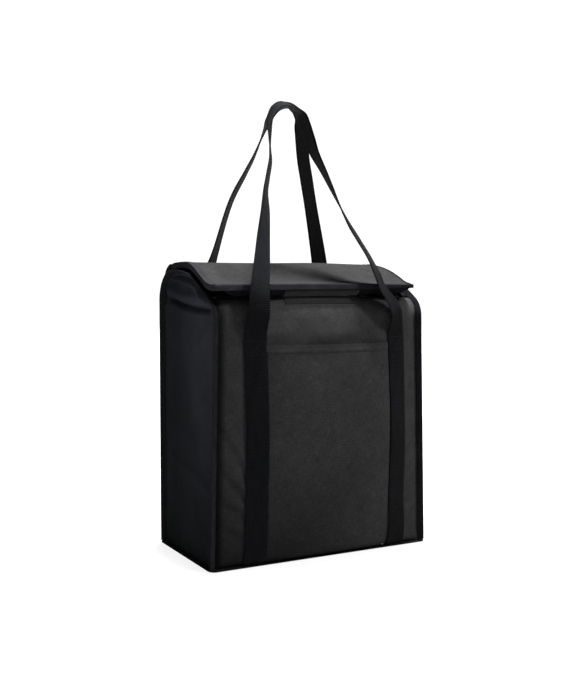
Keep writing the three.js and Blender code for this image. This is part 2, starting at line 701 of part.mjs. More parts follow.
// Each place on a loop's side: share of the rise, of the way in, of the way back, and its turn.
const FRONT_LEFT_WAY = [
  [0, 0, 0, 0], [0.082, 0.03, 0.02, 6], [0.202, 0.12, 0.14, 14], [0.315, 0.22, 0.3, 24],
  [0.437, 0.335, 0.474, 36], [0.526, 0.4, 0.59, 50], [0.581, 0.45, 0.653, 58],
  [0.662, 0.53, 0.738, 64], [0.717, 0.572, 0.789, 67], [0.783, 0.595, 0.849, 64],
  [0.839, 0.625, 0.895, 54], [0.932, 0.715, 0.966, 48], [0.985, 0.84, 0.996, 48],
];
const FRONT_RIGHT_WAY = [
  [0, 0, 0, 0], [0.048, 0.07, 0, 8], [0.1, 0.18, 0.005, 20], [0.159, 0.235, 0.04, 32],
  [0.199, 0.258, 0.09, 38], [0.243, 0.283, 0.17, 45], [0.328, 0.376, 0.318, 53],
  [0.417, 0.485, 0.447, 55], [0.507, 0.532, 0.568, 56], [0.63, 0.627, 0.705, 55],
  [0.723, 0.71, 0.795, 54], [0.83, 0.768, 0.888, 52], [0.901, 0.812, 0.942, 50],
  [0.945, 0.854, 0.973, 50], [0.986, 0.92, 0.996, 49],
];
const BACK_LEFT_WAY = [
  [0, 0, 0, 0], [0.1, 0.07, 0.02, 14], [0.233, 0.2, 0.115, 36], [0.531, 0.36, 0.449, 47],
  [0.816, 0.654, 0.774, 54], [0.892, 0.724, 0.856, 51], [0.969, 0.872, 0.963, 48],
];
const BACK_RIGHT_WAY = [
  [0, 0, 0, 0], [0.1, 0.03, 0.02, 0], [0.231, 0.1, 0.111, 4], [0.517, 0.366, 0.435, 18],
  [0.683, 0.524, 0.62, 24], [0.78, 0.618, 0.731, 28], [0.923, 0.748, 0.888, 38],
  [0.983, 0.884, 0.975, 44],
];
const LOOP_TOP_TURN = { front: 50, back: 46 };

function makeLoop(name, leftWay, rightWay, footY, top, topTurn) {
  const points = [];
  const turns = [];
  const along = (way, side) => way.map(([rise, inwards, back, turn]) => {
    const foot = new THREE.Vector3(side * (STRAP_X - LEG_LEAN_IN), footY, LOOP_FOOT_Z + GAP);
    return [
      new THREE.Vector3(
        lerp(foot.x, top.x, inwards),
        lerp(foot.y, top.y, back),
        lerp(foot.z, top.z, rise),
      ),
      turn,
    ];
  });
  const places = [...along(leftWay, -1), [top, topTurn], ...along(rightWay, 1).reverse()];
  for (const [point, turn] of places) {
    points.push(point);
    turns.push(turn);
  }
  const stations = stationsAlong(points, turns, 2 * (places.length - 1));
  addStrip(`${name}_handle_loop`, webbing, stations, WEB_WIDTH, WEB_THICKNESS);
}

makeWalls();
makeBottom();
makeSeamBindings();
makeBottomBinding();
makeMouthBindings();
makePocket();
makeStraps();
makeLid();
makeClosure();
makeLegs();
makeLoop("front", FRONT_LEFT_WAY, FRONT_RIGHT_WAY, FRONT_LOOP_FOOT_Y, FRONT_LOOP_TOP, LOOP_TOP_TURN.front);
makeLoop("back", BACK_LEFT_WAY, BACK_RIGHT_WAY, BACK_LOOP_FOOT_Y, BACK_LOOP_TOP, LOOP_TOP_TURN.back);

export default bag;
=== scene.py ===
import math

import bpy
import numpy as np
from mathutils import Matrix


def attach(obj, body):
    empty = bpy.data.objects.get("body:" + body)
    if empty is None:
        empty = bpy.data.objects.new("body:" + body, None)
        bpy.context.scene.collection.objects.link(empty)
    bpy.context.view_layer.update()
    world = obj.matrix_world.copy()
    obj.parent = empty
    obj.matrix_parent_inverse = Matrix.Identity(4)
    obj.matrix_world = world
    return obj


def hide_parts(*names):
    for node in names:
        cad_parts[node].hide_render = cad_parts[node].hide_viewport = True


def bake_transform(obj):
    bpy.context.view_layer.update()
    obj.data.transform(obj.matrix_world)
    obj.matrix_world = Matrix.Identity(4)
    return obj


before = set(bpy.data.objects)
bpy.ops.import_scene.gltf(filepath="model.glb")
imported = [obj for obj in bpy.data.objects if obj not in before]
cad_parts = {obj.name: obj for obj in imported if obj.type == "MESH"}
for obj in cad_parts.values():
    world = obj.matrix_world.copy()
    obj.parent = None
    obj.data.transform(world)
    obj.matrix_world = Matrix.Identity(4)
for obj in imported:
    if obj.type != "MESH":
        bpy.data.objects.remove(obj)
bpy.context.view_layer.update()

# Lengths below are millimetres, as in the part's source; meshes are written in metres.
MM = 0.001

# Body
FOOT_HALF_WIDTH = 167
RIGHT_SPREAD = 1.025
SHOULDER_HALF_WIDTH = 160
HALF_DEPTH = 88
WALL_FOOT = 3.2
FRONT_WALL_TOP = 341
CORNER_RADIUS = 28
LIP_LENGTH = 6
FRONT_BULGE = 33
BACK_BULGE = 8
SIDE_BULGE = 5
BULGE_FULLNESS = 2.7
MOUTH_SLOPE = math.radians(31)
MOUTH_CROWN_RADIUS = 160
MOUTH_BACK_FALL = math.radians(5)
MOUTH_BACK_RADIUS = 40

# Layers
CLOTH = 1.2
FOAM = 5
LINING = 1
BOARD = 2.5
GAP = 0.3
SEWN_GAP = 0.6
FOAM_DEPTH = CLOTH + GAP
LINING_DEPTH = FOAM_DEPTH + FOAM + GAP
WALL_DEPTH = LINING_DEPTH + LINING
BOTTOM_FOAM_Z = CLOTH + GAP + BOARD + GAP
BOTTOM_LINING_Z = BOTTOM_FOAM_Z + FOAM + GAP
WALL_LINING_FOOT = BOTTOM_LINING_Z + LINING + GAP

# Tape
FIN_LENGTH = 7.5
FIN_THICKNESS = 2.2
FIN_OUTWARD = 0.47
FIN_STEP = 0.75
TAPE_GRIP = 2
MOUTH_TAPE = 2.5

# Lid, with its half widths at depths from its front to its hinge
LID_DEPTHS = [-101, -90, -76, -60, -44, -21, 0, 30, 45, 60]
LID_LEFT = [172, 172, 171, 170, 170, 168, 165, 163.5, 165, 167]
LID_RIGHT = [153, 155, 157, 157.5, 155, 151, 150, 156, 163, 167]
LID_SIDE_OVERHANG = 9
LID_FRONT_OVERHANG = 13
LID_HALF_WIDTH = SHOULDER_HALF_WIDTH + LID_SIDE_OVERHANG
LID_FRONT = HALF_DEPTH + LID_FRONT_OVERHANG
LID_CORNER = 9
LID_CLOTH = 1
LID_FOAM = 5
LID_TAPE = 3.2
LID_LIP = 8
LID_CROWN = 2
LID_CROWN_FADE = 45
LID_SAG = 9
LID_OVER_BACK = 14.5
LID_OVER_FRONT = 23.5
LID_BEND = 22
LID_SETTLE = 86
LID_FRONT_RISE = 46.5
LID_LIP_THICKNESS = 0.8
HINGE_GAP = 0.4
LID_LINING_DEPTH = LID_CLOTH + LID_FOAM + 2 * GAP
LID_DEPTH = LID_LINING_DEPTH + LINING

# Webbing
WEB_WIDTH = 32
WEB_THICKNESS = 2
STRAP_X = 114
LEFT_STRAP_SHIFT = 2.2
STRAP_FOOT_SHIFT = {("front", -1): 1.5, ("front", 1): 5.0}
TACK_Z = 316
SEAM_ALLOWANCE = 3
STRAP_DEPTH = -SEWN_GAP - WEB_THICKNESS

# Pocket and closure
POCKET_MOUTH_Z = 305
POCKET_GAPE = 8
POCKET_CLOTH = 1
HEM_HEIGHT = 13
CLOSURE_HALF_LENGTH = 60
CLOSURE_THICKNESS = 1.2
HOOK_STRIP_REACH = (-95, -77)
LOOP_STRIP_TURNS = (30, 55)

SIDES = (("left", -1), ("right", 1))

# Length of a step along the side's and the lid's outlines
OUTLINE_STEP = 3

# Room
CAMERA_TURN = math.radians(-28.48)
WORLD_LIGHT = 0.36

ARC_Y = HALF_DEPTH - CORNER_RADIUS
LID_BACK = ARC_Y - HINGE_GAP
SHOULDER_TURN = math.pi / 2 - MOUTH_SLOPE
CROWN_END_TURN = math.pi / 2 + MOUTH_BACK_FALL


# ---- Camera

def make_camera():
    data = bpy.data.cameras.new("camera")
    data.lens = 52.13
    data.sensor_width = 36
    data.clip_end = 50
    cam = bpy.data.objects.new("camera", data)
    cam.location = (-0.69624, -1.28659, 0.3865)
    cam.rotation_euler = (math.radians(86.95), 0, CAMERA_TURN)
    bpy.context.collection.objects.link(cam)
    bpy.context.scene.camera = cam


# ---- Materials

class Look:
    """A node material built up step by step."""

    def __init__(self, name, colour, roughness, metallic=0.0, specular=0.5, sheen=0.0):
        self.material = bpy.data.materials.new(name)
        self.material.use_nodes = True
        self.tree = self.material.node_tree
        self.shader = self.tree.nodes["Principled BSDF"]
        self.normal = None
        self.surface("Base Color", (*colour, 1))
        self.surface("Roughness", roughness)
        self.surface("Metallic", metallic)
        self.surface("Specular IOR Level", specular)
        self.surface("Sheen Weight", sheen)

    def surface(self, key, value):
        self.shader.inputs[key].default_value = value

    def made(self, kind, sockets, output, **settings):
        """The output of a new node whose sockets are fed by values or by other outputs."""
        node = self.tree.nodes.new(kind)
        for key, value in settings.items():
            setattr(node, key, value)
        for key, value in sockets.items():
            if isinstance(value, bpy.types.NodeSocket):
                self.tree.links.new(value, node.inputs[key])
            else:
                node.inputs[key].default_value = value
        return node.outputs[output]

    def cloth_uv(self, u=1, v=1):
        """Cloth coordinates in metres, scaled."""
        uv = self.made("ShaderNodeUVMap", {}, "UV", uv_map="cloth")
        return self.made("ShaderNodeMapping", {"Vector": uv, "Scale": (u, v, 1)}, "Vector")

    def place(self, z=1):
        """Places in the part's frame in metres, with the height scaled."""
        here = self.made("ShaderNodeTexCoord", {}, "Object")
        return self.made("ShaderNodeMapping", {"Vector": here, "Scale": (1, 1, z)}, "Vector")

    def noise(self, vector, size, detail, roughness=0.55):
        sockets = {"Vector": vector, "Scale": 1 / size, "Detail": detail, "Roughness": roughness}
        return self.made("ShaderNodeTexNoise", sockets, "Fac")

    def bands(self, vector, period, axis):
        """Smooth bands of a period in metres."""
        sockets = {"Vector": vector, "Scale": math.pi / 10 / period, "Distortion": 0}
        return self.made("ShaderNodeTexWave", sockets, "Fac", wave_type="BANDS", bands_direction=axis)

    def axis(self, vector, name):
        """One part of a place."""
        return self.made("ShaderNodeSeparateXYZ", {0: vector}, name)

    def math(self, operation, *values, clamp=False):
        return self.made("ShaderNodeMath", dict(enumerate(values)), 0, operation=operation, use_clamp=clamp)

    def times(self, a, b):
        return self.math("MULTIPLY", a, b)

    def line(self, value, gain, base):
        """The value times gain, plus base."""
        return self.math("MULTIPLY_ADD", value, gain, base)

    def from_to(self, value, start, end):
        """0 where the value is start, 1 where it is end."""
        return self.math("DIVIDE", self.math("SUBTRACT", value, start), end - start, clamp=True)

    def ramp(self, value, *stops):
        node = self.tree.nodes.new("ShaderNodeValToRGB")
        while len(node.color_ramp.elements) < len(stops):
            node.color_ramp.elements.new(0.5)
        for element, (spot, colour) in zip(node.color_ramp.elements, stops):
            element.position = spot
            element.color = (*colour, 1)
        self.tree.links.new(value, node.inputs["Fac"])
        return node.outputs["Color"]

    def mix(self, share, a, b, blend="MIX"):
        return self.made("ShaderNodeMix", {0: share, 6: a, 7: b}, 2, data_type="RGBA", blend_type=blend)

    def colour(self, tone, shade=None):
        """Colours the surface, with a shade that darkens or lightens it."""
        if shade is not None:
            tone = self.mix(1.0, tone, shade, "MULTIPLY")
        self.tree.links.new(tone, self.shader.inputs["Base Color"])

    def bump(self, height, depth):
        """Adds a relief of a depth in metres on top of what is there."""
        sockets = {"Height": height, "Strength": 1.0, "Distance": depth}
        if self.normal is not None:
            sockets["Normal"] = self.normal
        self.normal = self.made("ShaderNodeBump", sockets, "Normal")
        self.tree.links.new(self.normal, self.shader.inputs["Normal"])


def tint(colour, factor):
    return tuple(min(c * factor, 1) for c in colour)


def make_canvas():
    """Plain-woven cloth with heathered yarns, with painted shade at the foot, in the crevice by the left seam
    and low on the left, and a painted highlight on the front shoulder.
    """
    colour = (0.0166, 0.0166, 0.0168)
    look = Look("canvas", colour, 0.9, specular=0.0)
    uv, here = look.cloth_uv(), look.place()
    x, z = look.axis(here, "X"), look.axis(here, "Z")
    weave = look.times(look.bands(uv, 0.0009, "X"), look.bands(uv, 0.0009, "Y"))
    across, along = (look.noise(look.cloth_uv(*scale), 0.0014, 2) for scale in ((1, 0.16), (0.16, 1)))
    yarns = look.times(look.math("ADD", across, along), 0.5)
    tone = look.line(look.noise(uv, 0.02, 4), 0.25, look.times(yarns, 0.75))
    # Painted shade at the foot, where the cloth turns under: darker over the lowest 13 mm.
    foot = look.math("POWER", look.from_to(z, 0.0, 0.013), 0.8)
    # Painted shade in the crevice beside the left seam, over 13 mm; the lid, above z 0.373, is kept out of
    # it.
    inside = look.from_to(look.line(z, -0.0205, x), -0.167, -0.154)
    inside = look.math("MAXIMUM", inside, look.from_to(z, 0.373, 0.376))
    # Painted shade: darker towards the bottom left, where less light falls; 1 where unshaded.
    unshaded = look.math("MAXIMUM", look.from_to(x, -0.09, 0.08), look.from_to(z, 0.0, 0.16))
    # Painted highlight on the front shoulder, from z 0.33 to 0.386.
    shoulder = look.times(look.from_to(z, 0.33, 0.355), look.from_to(z, 0.386, 0.376))
    parts = (foot, 0.62, 0.38), (inside, 0.88, 0.12), (unshaded, 0.6, 0.4), (shoulder, 0.4, 1.0)
    shade = 1.0
    for part, gain, base in parts:
        shade = look.times(shade, look.line(part, gain, base))
    stops = (0.34, tint(colour, 0.7)), (0.5, colour), (0.68, tint(colour, 1.48))
    look.colour(look.ramp(tone, *stops), shade)
    look.bump(yarns, 0.0004)
    look.bump(weave, 0.00024)
    return look


def make_side_cloth():
    """Smooth cloth with painted light towards the front and the top, painted shade at the top of the right
    side under the lid, and soft rumples.
    """
    look = Look("side_cloth", (0.0085, 0.0098, 0.012), 0.6, specular=0.0)
    uv, here = look.cloth_uv(), look.place()
    x, y, z = (look.axis(here, name) for name in "XYZ")
    tone = look.times(look.noise(look.place(0.5), 0.12, 2), 0.8)
    # Painted light: paler towards the front and the top.
    tone = look.line(z, 0.9, look.line(y, -2.0, tone))
    # Painted shade: darker at the top of the right side, under the lid.
    under_lid_shade = look.times(look.from_to(x, 0.1, 0.12), look.from_to(z, 0.365, 0.38))
    stops = (0.3, (0.006, 0.007, 0.0066)), (0.6, (0.0108, 0.0114, 0.0138)), (0.95, (0.024, 0.025, 0.0305))
    look.colour(look.ramp(tone, *stops), look.line(under_lid_shade, -0.8, 1.0))
    look.bump(look.noise(look.place(0.6), 0.085, 2), 0.014)
    look.bump(look.noise(here, 0.03, 3), 0.003)
    look.bump(look.times(look.bands(uv, 0.0006, "X"), look.bands(uv, 0.0006, "Y")), 0.0001)
    return look


def make_tape(name, colour):
    look = Look(name, colour, 0.8, specular=0.0)
    rib = look.bands(look.cloth_uv(), 0.0011, "Y")
    wear = look.noise(look.cloth_uv(1, 0.3), 0.006, 3)
    stops = (0.25, tint(colour, 0.6)), (0.55, colour), (0.85, tint(colour, 1.8))
    shade = None
    # Painted shade: the lid's binding darker towards its right end.
    if name == "lid_tape":
        shade = look.line(look.from_to(look.axis(look.place(), "X"), 0.14, 0.0), 0.55, 0.45)
    look.colour(look.ramp(look.line(rib, 0.35, look.times(wear, 0.65)), *stops), shade)
    look.bump(rib, 0.0003)
    return look


def make_webbing():
    """Ribbed webbing, with painted light on the loops' upper left and painted shade on their upper right."""
    colour = (0.0026, 0.0027, 0.0031)
    look = Look("webbing", colour, 0.5, specular=0.01)
    uv, here = look.cloth_uv(), look.place()
    x, z = look.axis(here, "X"), look.axis(here, "Z")
    rib = look.bands(uv, 0.0024, "Y")
    wear = look.noise(look.cloth_uv(1, 0.25), 0.008, 3)
    # Painted light: the loops' left legs made paler from z 0.36 up, where light from the right falls on them.
    painted_light_left = look.times(look.from_to(x, 0.0, -0.03), look.from_to(z, 0.36, 0.4))
    # Painted shade: the loops' right legs made darker from z 0.42 up.
    painted_shade_right = look.times(look.from_to(x, 0.0, 0.01), look.from_to(z, 0.42, 0.45))
    stops = (0.2, tint(colour, 0.65)), (0.5, colour), (0.85, tint(colour, 1.9))
    shade = look.line(painted_shade_right, -0.4, look.line(painted_light_left, 1.1, 1.0))
    look.colour(look.ramp(look.line(rib, 0.45, look.times(wear, 0.55)), *stops), shade)
    look.bump(rib, 0.0004)
    look.bump(look.bands(uv, 0.0012, "X"), 0.0001)
    return look


def make_thread():
    look = Look("thread", (0.009, 0.009, 0.011), 0.6, specular=0.02)
    twist = look.bands(look.place(), 0.0006, "DIAGONAL")
    look.colour(look.ramp(twist, (0.2, (0.004, 0.004, 0.005)), (0.8, (0.009, 0.009, 0.0105))))
    return look


# Grained looks: colour, roughness, traits, the grain's size, detail and roughness, its stops and its depth
GRAINED = {
    "foam": ((0.8, 0.8, 0.77), 0.95, {"specular": 0.2}, 0.0016, 2, 0.55,
        ((0.3, (0.68, 0.68, 0.65)), (0.6, (0.83, 0.83, 0.8))), 0.0004),
    "lining": ((0.5, 0.51, 0.53), 0.33, {"metallic": 0.35, "specular": 0.6}, 0.018, 5, 0.6,
        ((0.3, (0.4, 0.41, 0.43)), (0.6, (0.56, 0.57, 0.59))), 0.0025),
    # Painted shade: a near-black copy of the lining, for the lid's underside.
    "shaded_lining": ((0.004, 0.004, 0.0045), 0.7, {"specular": 0.0}, 0.018, 5, 0.6,
        ((0.3, (0.003, 0.003, 0.0034)), (0.6, (0.005, 0.005, 0.0056))), 0.0012),
    "board": ((0.03, 0.03, 0.032), 0.55, {}, 0.0025, 3, 0.55,
        ((0.3, (0.022, 0.022, 0.024)), (0.7, (0.038, 0.038, 0.04))), 0.0003),
    "hook_and_loop": ((0.006, 0.006, 0.0065), 0.95, {"specular": 0.1, "sheen": 0.05}, 0.0012, 3, 0.7,
        ((0.35, (0.003, 0.003, 0.00325)), (0.65, (0.0132, 0.0132, 0.0143))), 0.0012),
}


def make_looks():
    looks = {
        "canvas": make_canvas(), "side_cloth": make_side_cloth(), "webbing": make_webbing(),
        "thread": make_thread(), "tape": make_tape("tape", (0.006, 0.006, 0.007)),
        # Painted light: a paler copy of the tape, for the left seam's fin that faces the light.
        "painted_light_left_tape": make_tape("painted_light_left_tape", (0.0085, 0.0087, 0.0096)),
        "lid_tape": make_tape("lid_tape", (0.0165, 0.0158, 0.0178)),
    }
    for name, (colour, roughness, traits, size, detail, grit, stops, depth) in GRAINED.items():
        look = looks[name] = Look(name, colour, roughness, **traits)
        here = look.place()
        grain = look.noise(here, size, detail, grit)
        tone = look.ramp(grain, *stops)
        if name == "lining":
            # Painted shade: the lining turns near black above z 0.362, where it is seen in the shade under
            # the lid.
            facing = look.from_to(look.axis(here, "Z"), 0.372, 0.362)
            tone = look.mix(facing, (0.004, 0.004, 0.0045, 1), tone)
        look.colour(tone)
        look.bump(grain, depth)
    return {name: look.material for name, look in looks.items()}


# ---- Floor and light

def soft_sun(name, towards, strength, spread):
    data = bpy.data.lights.new(name, "SUN")
    data.energy = strength
    data.angle = math.radians(spread)
    lamp = bpy.data.objects.new(name, data)
    x, y, z = np.array(towards, float) / np.linalg.norm(towards)
    lamp.rotation_euler = (math.acos(z), 0, math.atan2(y, x) + math.pi / 2)
    bpy.context.collection.objects.link(lamp)


def plain(name, colour, glow):
    """A matt surface that also gives off light of its own."""
    look = Look(name, (colour, colour, colour), 0.9, specular=0.0)
    look.surface("Emission Color", (1, 1, 1, 1))
    look.surface("Emission Strength", glow)
    return look.material


def make_surroundings():
    bpy.context.scene.view_settings.view_transform = "Standard"
    world = bpy.data.worlds.new("world")
    bpy.context.scene.world = world
    world.use_nodes = True
    back = world.node_tree.nodes["Background"]
    back.inputs["Color"].default_value = (1, 1, 1, 1)
    back.inputs["Strength"].default_value = WORLD_LIGHT
    for name, place, turn, colour, glow in (
        ("floor", (0, 0, -0.0005), (0, 0, 0), 0.12, 0.86),
        ("backdrop", (4.3, 8, 0), (math.pi / 2, 0, CAMERA_TURN), 0.1, 1.02),
    ):
        bpy.ops.mesh.primitive_plane_add(size=30, location=place, rotation=turn)
        plane = bpy.context.object
        plane.name = name
        plane.data.materials.append(plain(name, colour, glow))
    soft_sun("top", (0.15, 0.06, 1.0), 20.5, 14)
    soft_sun("key", (0.45, -0.6, 0.7), 3.9, 9)


# ---- Shapes of the part's source

def lerp(a, b, t):
    return a + (b - a) * t


def clip(v):
    return np.clip(v, 0, 1)


def smooth(a, b, v):
    t = clip((v - a) / (b - a))
    return t * t * (3 - 2 * t)


def stack(*parts):
    return np.stack(np.broadcast_arrays(*parts), -1)


def unit(v):
    return v / np.linalg.norm(v, axis=-1, keepdims=True)


def run_along(points):
    """The length run at each of a line's points."""
    return np.concatenate([[0], np.cumsum(np.linalg.norm(np.diff(points, axis=0), axis=1))])


def hermite(t, a, b, slope_a, slope_b):
    """A smooth way from a to b with given slopes at its ends."""
    return ((2 * t ** 3 - 3 * t ** 2 + 1) * a + (t ** 3 - 2 * t ** 2 + t) * slope_a
            + (3 * t ** 2 - 2 * t ** 3) * b + (t ** 3 - t ** 2) * slope_b)


def spread(x):
    """The body stands a little wider on its right."""
    return np.where(np.asarray(x) > 0, RIGHT_SPREAD * x, x)


def seam_half_width(y, z):
    front = lerp(FOOT_HALF_WIDTH, SHOULDER_HALF_WIDTH, clip(z / FRONT_WALL_TOP))
    return lerp(front, FOOT_HALF_WIDTH, (y + HALF_DEPTH) / (2 * HALF_DEPTH))


def facing(turn):
    return -math.cos(turn), math.sin(turn)


def mouth_arcs():
    """Centre, radius and turns of the arcs along the mouth's edge, from the front shoulder to the back."""
    slope_y, slope_z = facing(SHOULDER_TURN)
    back_y, back_z = facing(CROWN_END_TURN)
    y0 = -ARC_Y + CORNER_RADIUS * slope_y
    z0 = FRONT_WALL_TOP + CORNER_RADIUS * slope_z
    reach = HALF_DEPTH - y0 - MOUTH_CROWN_RADIUS * (back_y - slope_y) - MOUTH_BACK_RADIUS * (1 - back_y)
    cy = y0 + reach - MOUTH_CROWN_RADIUS * slope_y
    cz = z0 + reach * math.tan(MOUTH_SLOPE) - MOUTH_CROWN_RADIUS * slope_z
    return [
        (-ARC_Y, FRONT_WALL_TOP, CORNER_RADIUS, 0, SHOULDER_TURN),
        (cy, cz, MOUTH_CROWN_RADIUS, SHOULDER_TURN, CROWN_END_TURN),
        (HALF_DEPTH - MOUTH_BACK_RADIUS, cz + (MOUTH_CROWN_RADIUS - MOUTH_BACK_RADIUS) * back_z,
         MOUTH_BACK_RADIUS, CROWN_END_TURN, math.pi),
    ]


ARCS = mouth_arcs()
CROWN_END_Y = ARCS[1][0] + MOUTH_CROWN_RADIUS * facing(CROWN_END_TURN)[0]


def side_top(y, inset=0.0):
    """Height of the side's top edge, drawn in by inset."""
    y = np.asarray(y, float)
    cy, cz, radius, _, _ = ARCS[0]
    ny, nz = facing(SHOULDER_TURN)
    top = cz + (radius - inset) * nz + (y - cy - (radius - inset) * ny) * math.tan(MOUTH_SLOPE)
    for cy, cz, radius, start, end in ARCS:
        r = radius - inset
        low = -1e9 if start == 0 else cy + r * facing(start)[0]
        high = 1e9 if end == math.pi else cy + r * facing(end)[0]
        inside = (y >= low) & (y <= high)
        top = np.where(inside, cz + np.sqrt(np.maximum(r * r - (y - cy) ** 2, 0)), top)
    return top


BACK_WALL_TOP = float(side_top(ARC_Y)) + LID_OVER_BACK - CORNER_RADIUS
FRONT_RISE = FRONT_WALL_TOP - WALL_FOOT
FRONT_LENGTH = FRONT_RISE + CORNER_RADIUS * SHOULDER_TURN + LIP_LENGTH
BACK_RISE = BACK_WALL_TOP - WALL_FOOT
BACK_LENGTH = BACK_RISE + CORNER_RADIUS * math.pi / 2


def front_profile(s):
    """Place and facing of the front's cloth at s along it, from the bottom seam."""
    s = np.asarray(s, float)
    turn = np.clip((s - FRONT_RISE) / CORNER_RADIUS, 0, SHOULDER_TURN)
    ny, nz = -np.cos(turn), np.sin(turn)
    on = np.maximum(s - FRONT_RISE - CORNER_RADIUS * SHOULDER_TURN, 0)
    up = np.minimum(s, FRONT_RISE)
    y = -ARC_Y + CORNER_RADIUS * ny + on * nz
    z = WALL_FOOT + up + CORNER_RADIUS * nz - on * ny
    return y, z, ny, nz


def back_profile(s):
    s = np.asarray(s, float)
    turn = np.maximum(s - BACK_RISE, 0) / CORNER_RADIUS
    ny, nz = np.cos(turn), np.sin(turn)
    return ARC_Y + CORNER_RADIUS * ny, WALL_FOOT + np.minimum(s, BACK_RISE) + CORNER_RADIUS * nz, ny, nz


def fullness(across, along, foot_power, top_power):
    side = 1 - np.minimum(np.abs(across), 1) ** BULGE_FULLNESS
    height = np.maximum(np.sin(np.pi * clip(along)), 1e-9)
    return side * height ** np.where(along < 0.5, foot_power, top_power)


def bump_line(x, z, a, b, width):
    """1 along a line from a to b, fading over width and at its ends."""
    a, b = np.array(a, float), np.array(b, float)
    way = b - a
    length = np.linalg.norm(way)
    way /= length
    along = (x - a[0]) * way[0] + (z - a[1]) * way[1]
    off = (x - a[0]) * way[1] - (z - a[1]) * way[0]
    ends = 1 / (1 + np.exp(-(along) / (0.12 * length))) / (1 + np.exp((along - length) / (0.12 * length)))
    return np.exp(-(off / width) ** 2) * ends


# Pulled folds of the front's cloth beside its seams: two ends, width and height
FRONT_FOLDS = [
    ((-158, 204), (-126, 146), 6, 3.6), ((-158, 148), (-126, 107), 6.5, 4.4),
    ((-158, 100), (-128, 86), 6, 3.8), ((-158, 66), (-133, 55), 5.5, 3.2),
    ((-155, 262), (-136, 232), 7, 1.6), ((158, 190), (138, 150), 6, 1.8),
    ((158, 120), (136, 92), 6, 2.0), ((158, 60), (134, 50), 5, 1.6),
    ((-150, 330), (-60, 322), 9, 1.2), ((-20, 318), (60, 326), 10, 1.2),
]


def front_relief(x, s):
    """How the front's cloth stands away from its smooth form."""
    y, z, _, _ = front_profile(s)
    half = seam_half_width(y, z)
    held = clip(1 - (np.abs(x) / half) ** 10) * clip(s / 12) * clip((FRONT_LENGTH - s) / 18)
    out = np.zeros(np.broadcast(x, s).shape)
    for a, b, width, height in FRONT_FOLDS:
        out += height * bump_line(x, z, a, b, width)
        out -= 0.7 * height * bump_line(x, z + 1.9 * width, a, b, width)
    out += 0.7 * np.sin(x / 31 + 0.6) * np.sin(z / 44 + 1.2) + 0.4 * np.sin(x / 17 + z / 23)
    rows = clip(s / 15) * clip((FRONT_LENGTH - 20 - s) / 20)
    pinch = 3.6 * np.exp(-(((half - np.abs(x)) - 3.4) / 2.1) ** 2) * rows
    return out * held - pinch


def back_relief(x, s):
    y, z, _, _ = back_profile(s)
    half = seam_half_width(y, z)
    held = clip(1 - (np.abs(x) / half) ** 8) * clip(s / 12) * clip((BACK_LENGTH - s) / 25)
    return held * (0.8 * np.sin(x / 37 + 1.1) * np.sin(z / 52 + 0.4) + 0.4 * np.sin(x / 19 - z / 27))


WALLS = {
    "front": (front_profile, FRONT_LENGTH, FRONT_BULGE, (0.35, 0.5), front_relief),
    "back": (back_profile, BACK_LENGTH, BACK_BULGE, (1, 1), back_relief),
}


def wall_point(wall, x, s, depth, relief=1.0):
    profile, length, bulge, powers, stray = WALLS[wall]
    y, z, ny, nz = profile(s)
    across = x / seam_half_width(y, z)
    out = bulge * fullness(across, s / length, *powers) + relief * stray(x, s) - depth
    return stack(spread(x), y + ny * out, z + nz * out)


# Soft folds of the side's cloth: two ends, width and height
SIDE_FOLDS = [
    ((57, 137), (-44, 118), 9, 2.6), ((-44, 118), (-78, 103), 8, 2.2), ((82, 48), (60, 22), 5, 2.2),
    ((-60, 60), (-80, 30), 6, -1.8), ((-70, 330), (-30, 300), 9, 2.0), ((50, 320), (20, 260), 10, 1.8),
    ((-75, 240), (-20, 205), 8, 1.6), ((60, 230), (10, 180), 9, 1.4),
]


def side_relief(y, z):
    """The gusset's pouch and creases, and the slack of the lower side."""
    slack = clip(1 - (np.abs(y) / HALF_DEPTH) ** 8) * clip((z - WALL_FOOT) / 12)
    slack = slack * clip((side_top(y) - z) / 8)
    crease = np.interp(y, [-88, -57, -11, 26, 77, 88], [352, 353.7, 355.5, 359, 370, 374])
    fold = np.interp(y, [-88, -47, -12, 25, 60, 88], [352, 372.6, 387.7, 393.4, 398, 396])
    along = clip((y + 78) / 25) * clip((84 - y) / 22)
    out = -9 * np.exp(-((z - crease) / 3.6) ** 2) * along
    out += 7 * np.exp(-((z - crease - 14) / 9) ** 2) * along
    out += 2.4 * np.exp(-((z - fold) / 2.5) ** 2) * along
    out -= 3 * np.exp(-((z - fold - 5.5) / 3.5) ** 2) * along
    for a, b, width, height in SIDE_FOLDS:
        out += height * bump_line(y, z, a, b, width)
    out += 1.2 * np.sin(y / 24 + 0.5) * np.sin(z / 41 + 2)
    return out * slack


def side_point(side, y, z, depth):
    along = (z - WALL_FOOT) / (side_top(y) - WALL_FOOT)
    out = SIDE_BULGE * fullness(y / HALF_DEPTH, along, 1, 1) + side_relief(y, z) - depth
    return stack(spread(side * (seam_half_width(y, z) + out)), y, z)


def lid_edge_top(y):
    bend = LID_BEND - HALF_DEPTH

    def over(depth):
        settled = clip((depth - bend) / LID_SETTLE)
        return side_top(depth) + lerp(LID_OVER_FRONT, LID_OVER_BACK, settled)

    t = np.clip((bend - y) / (LID_FRONT + bend), 0, None)
    front = lerp(over(np.array(float(bend))), FRONT_WALL_TOP + LID_FRONT_RISE, 2 * t - t * t)
    return np.where(y > bend, over(y), front)


def lid_thinning(x, y):
    """How much of their thickness the lid's layers keep; they thin out at the front right corner."""
    return 1 - 0.42 * smooth(30, 150, x) * smooth(-50, -95, y)


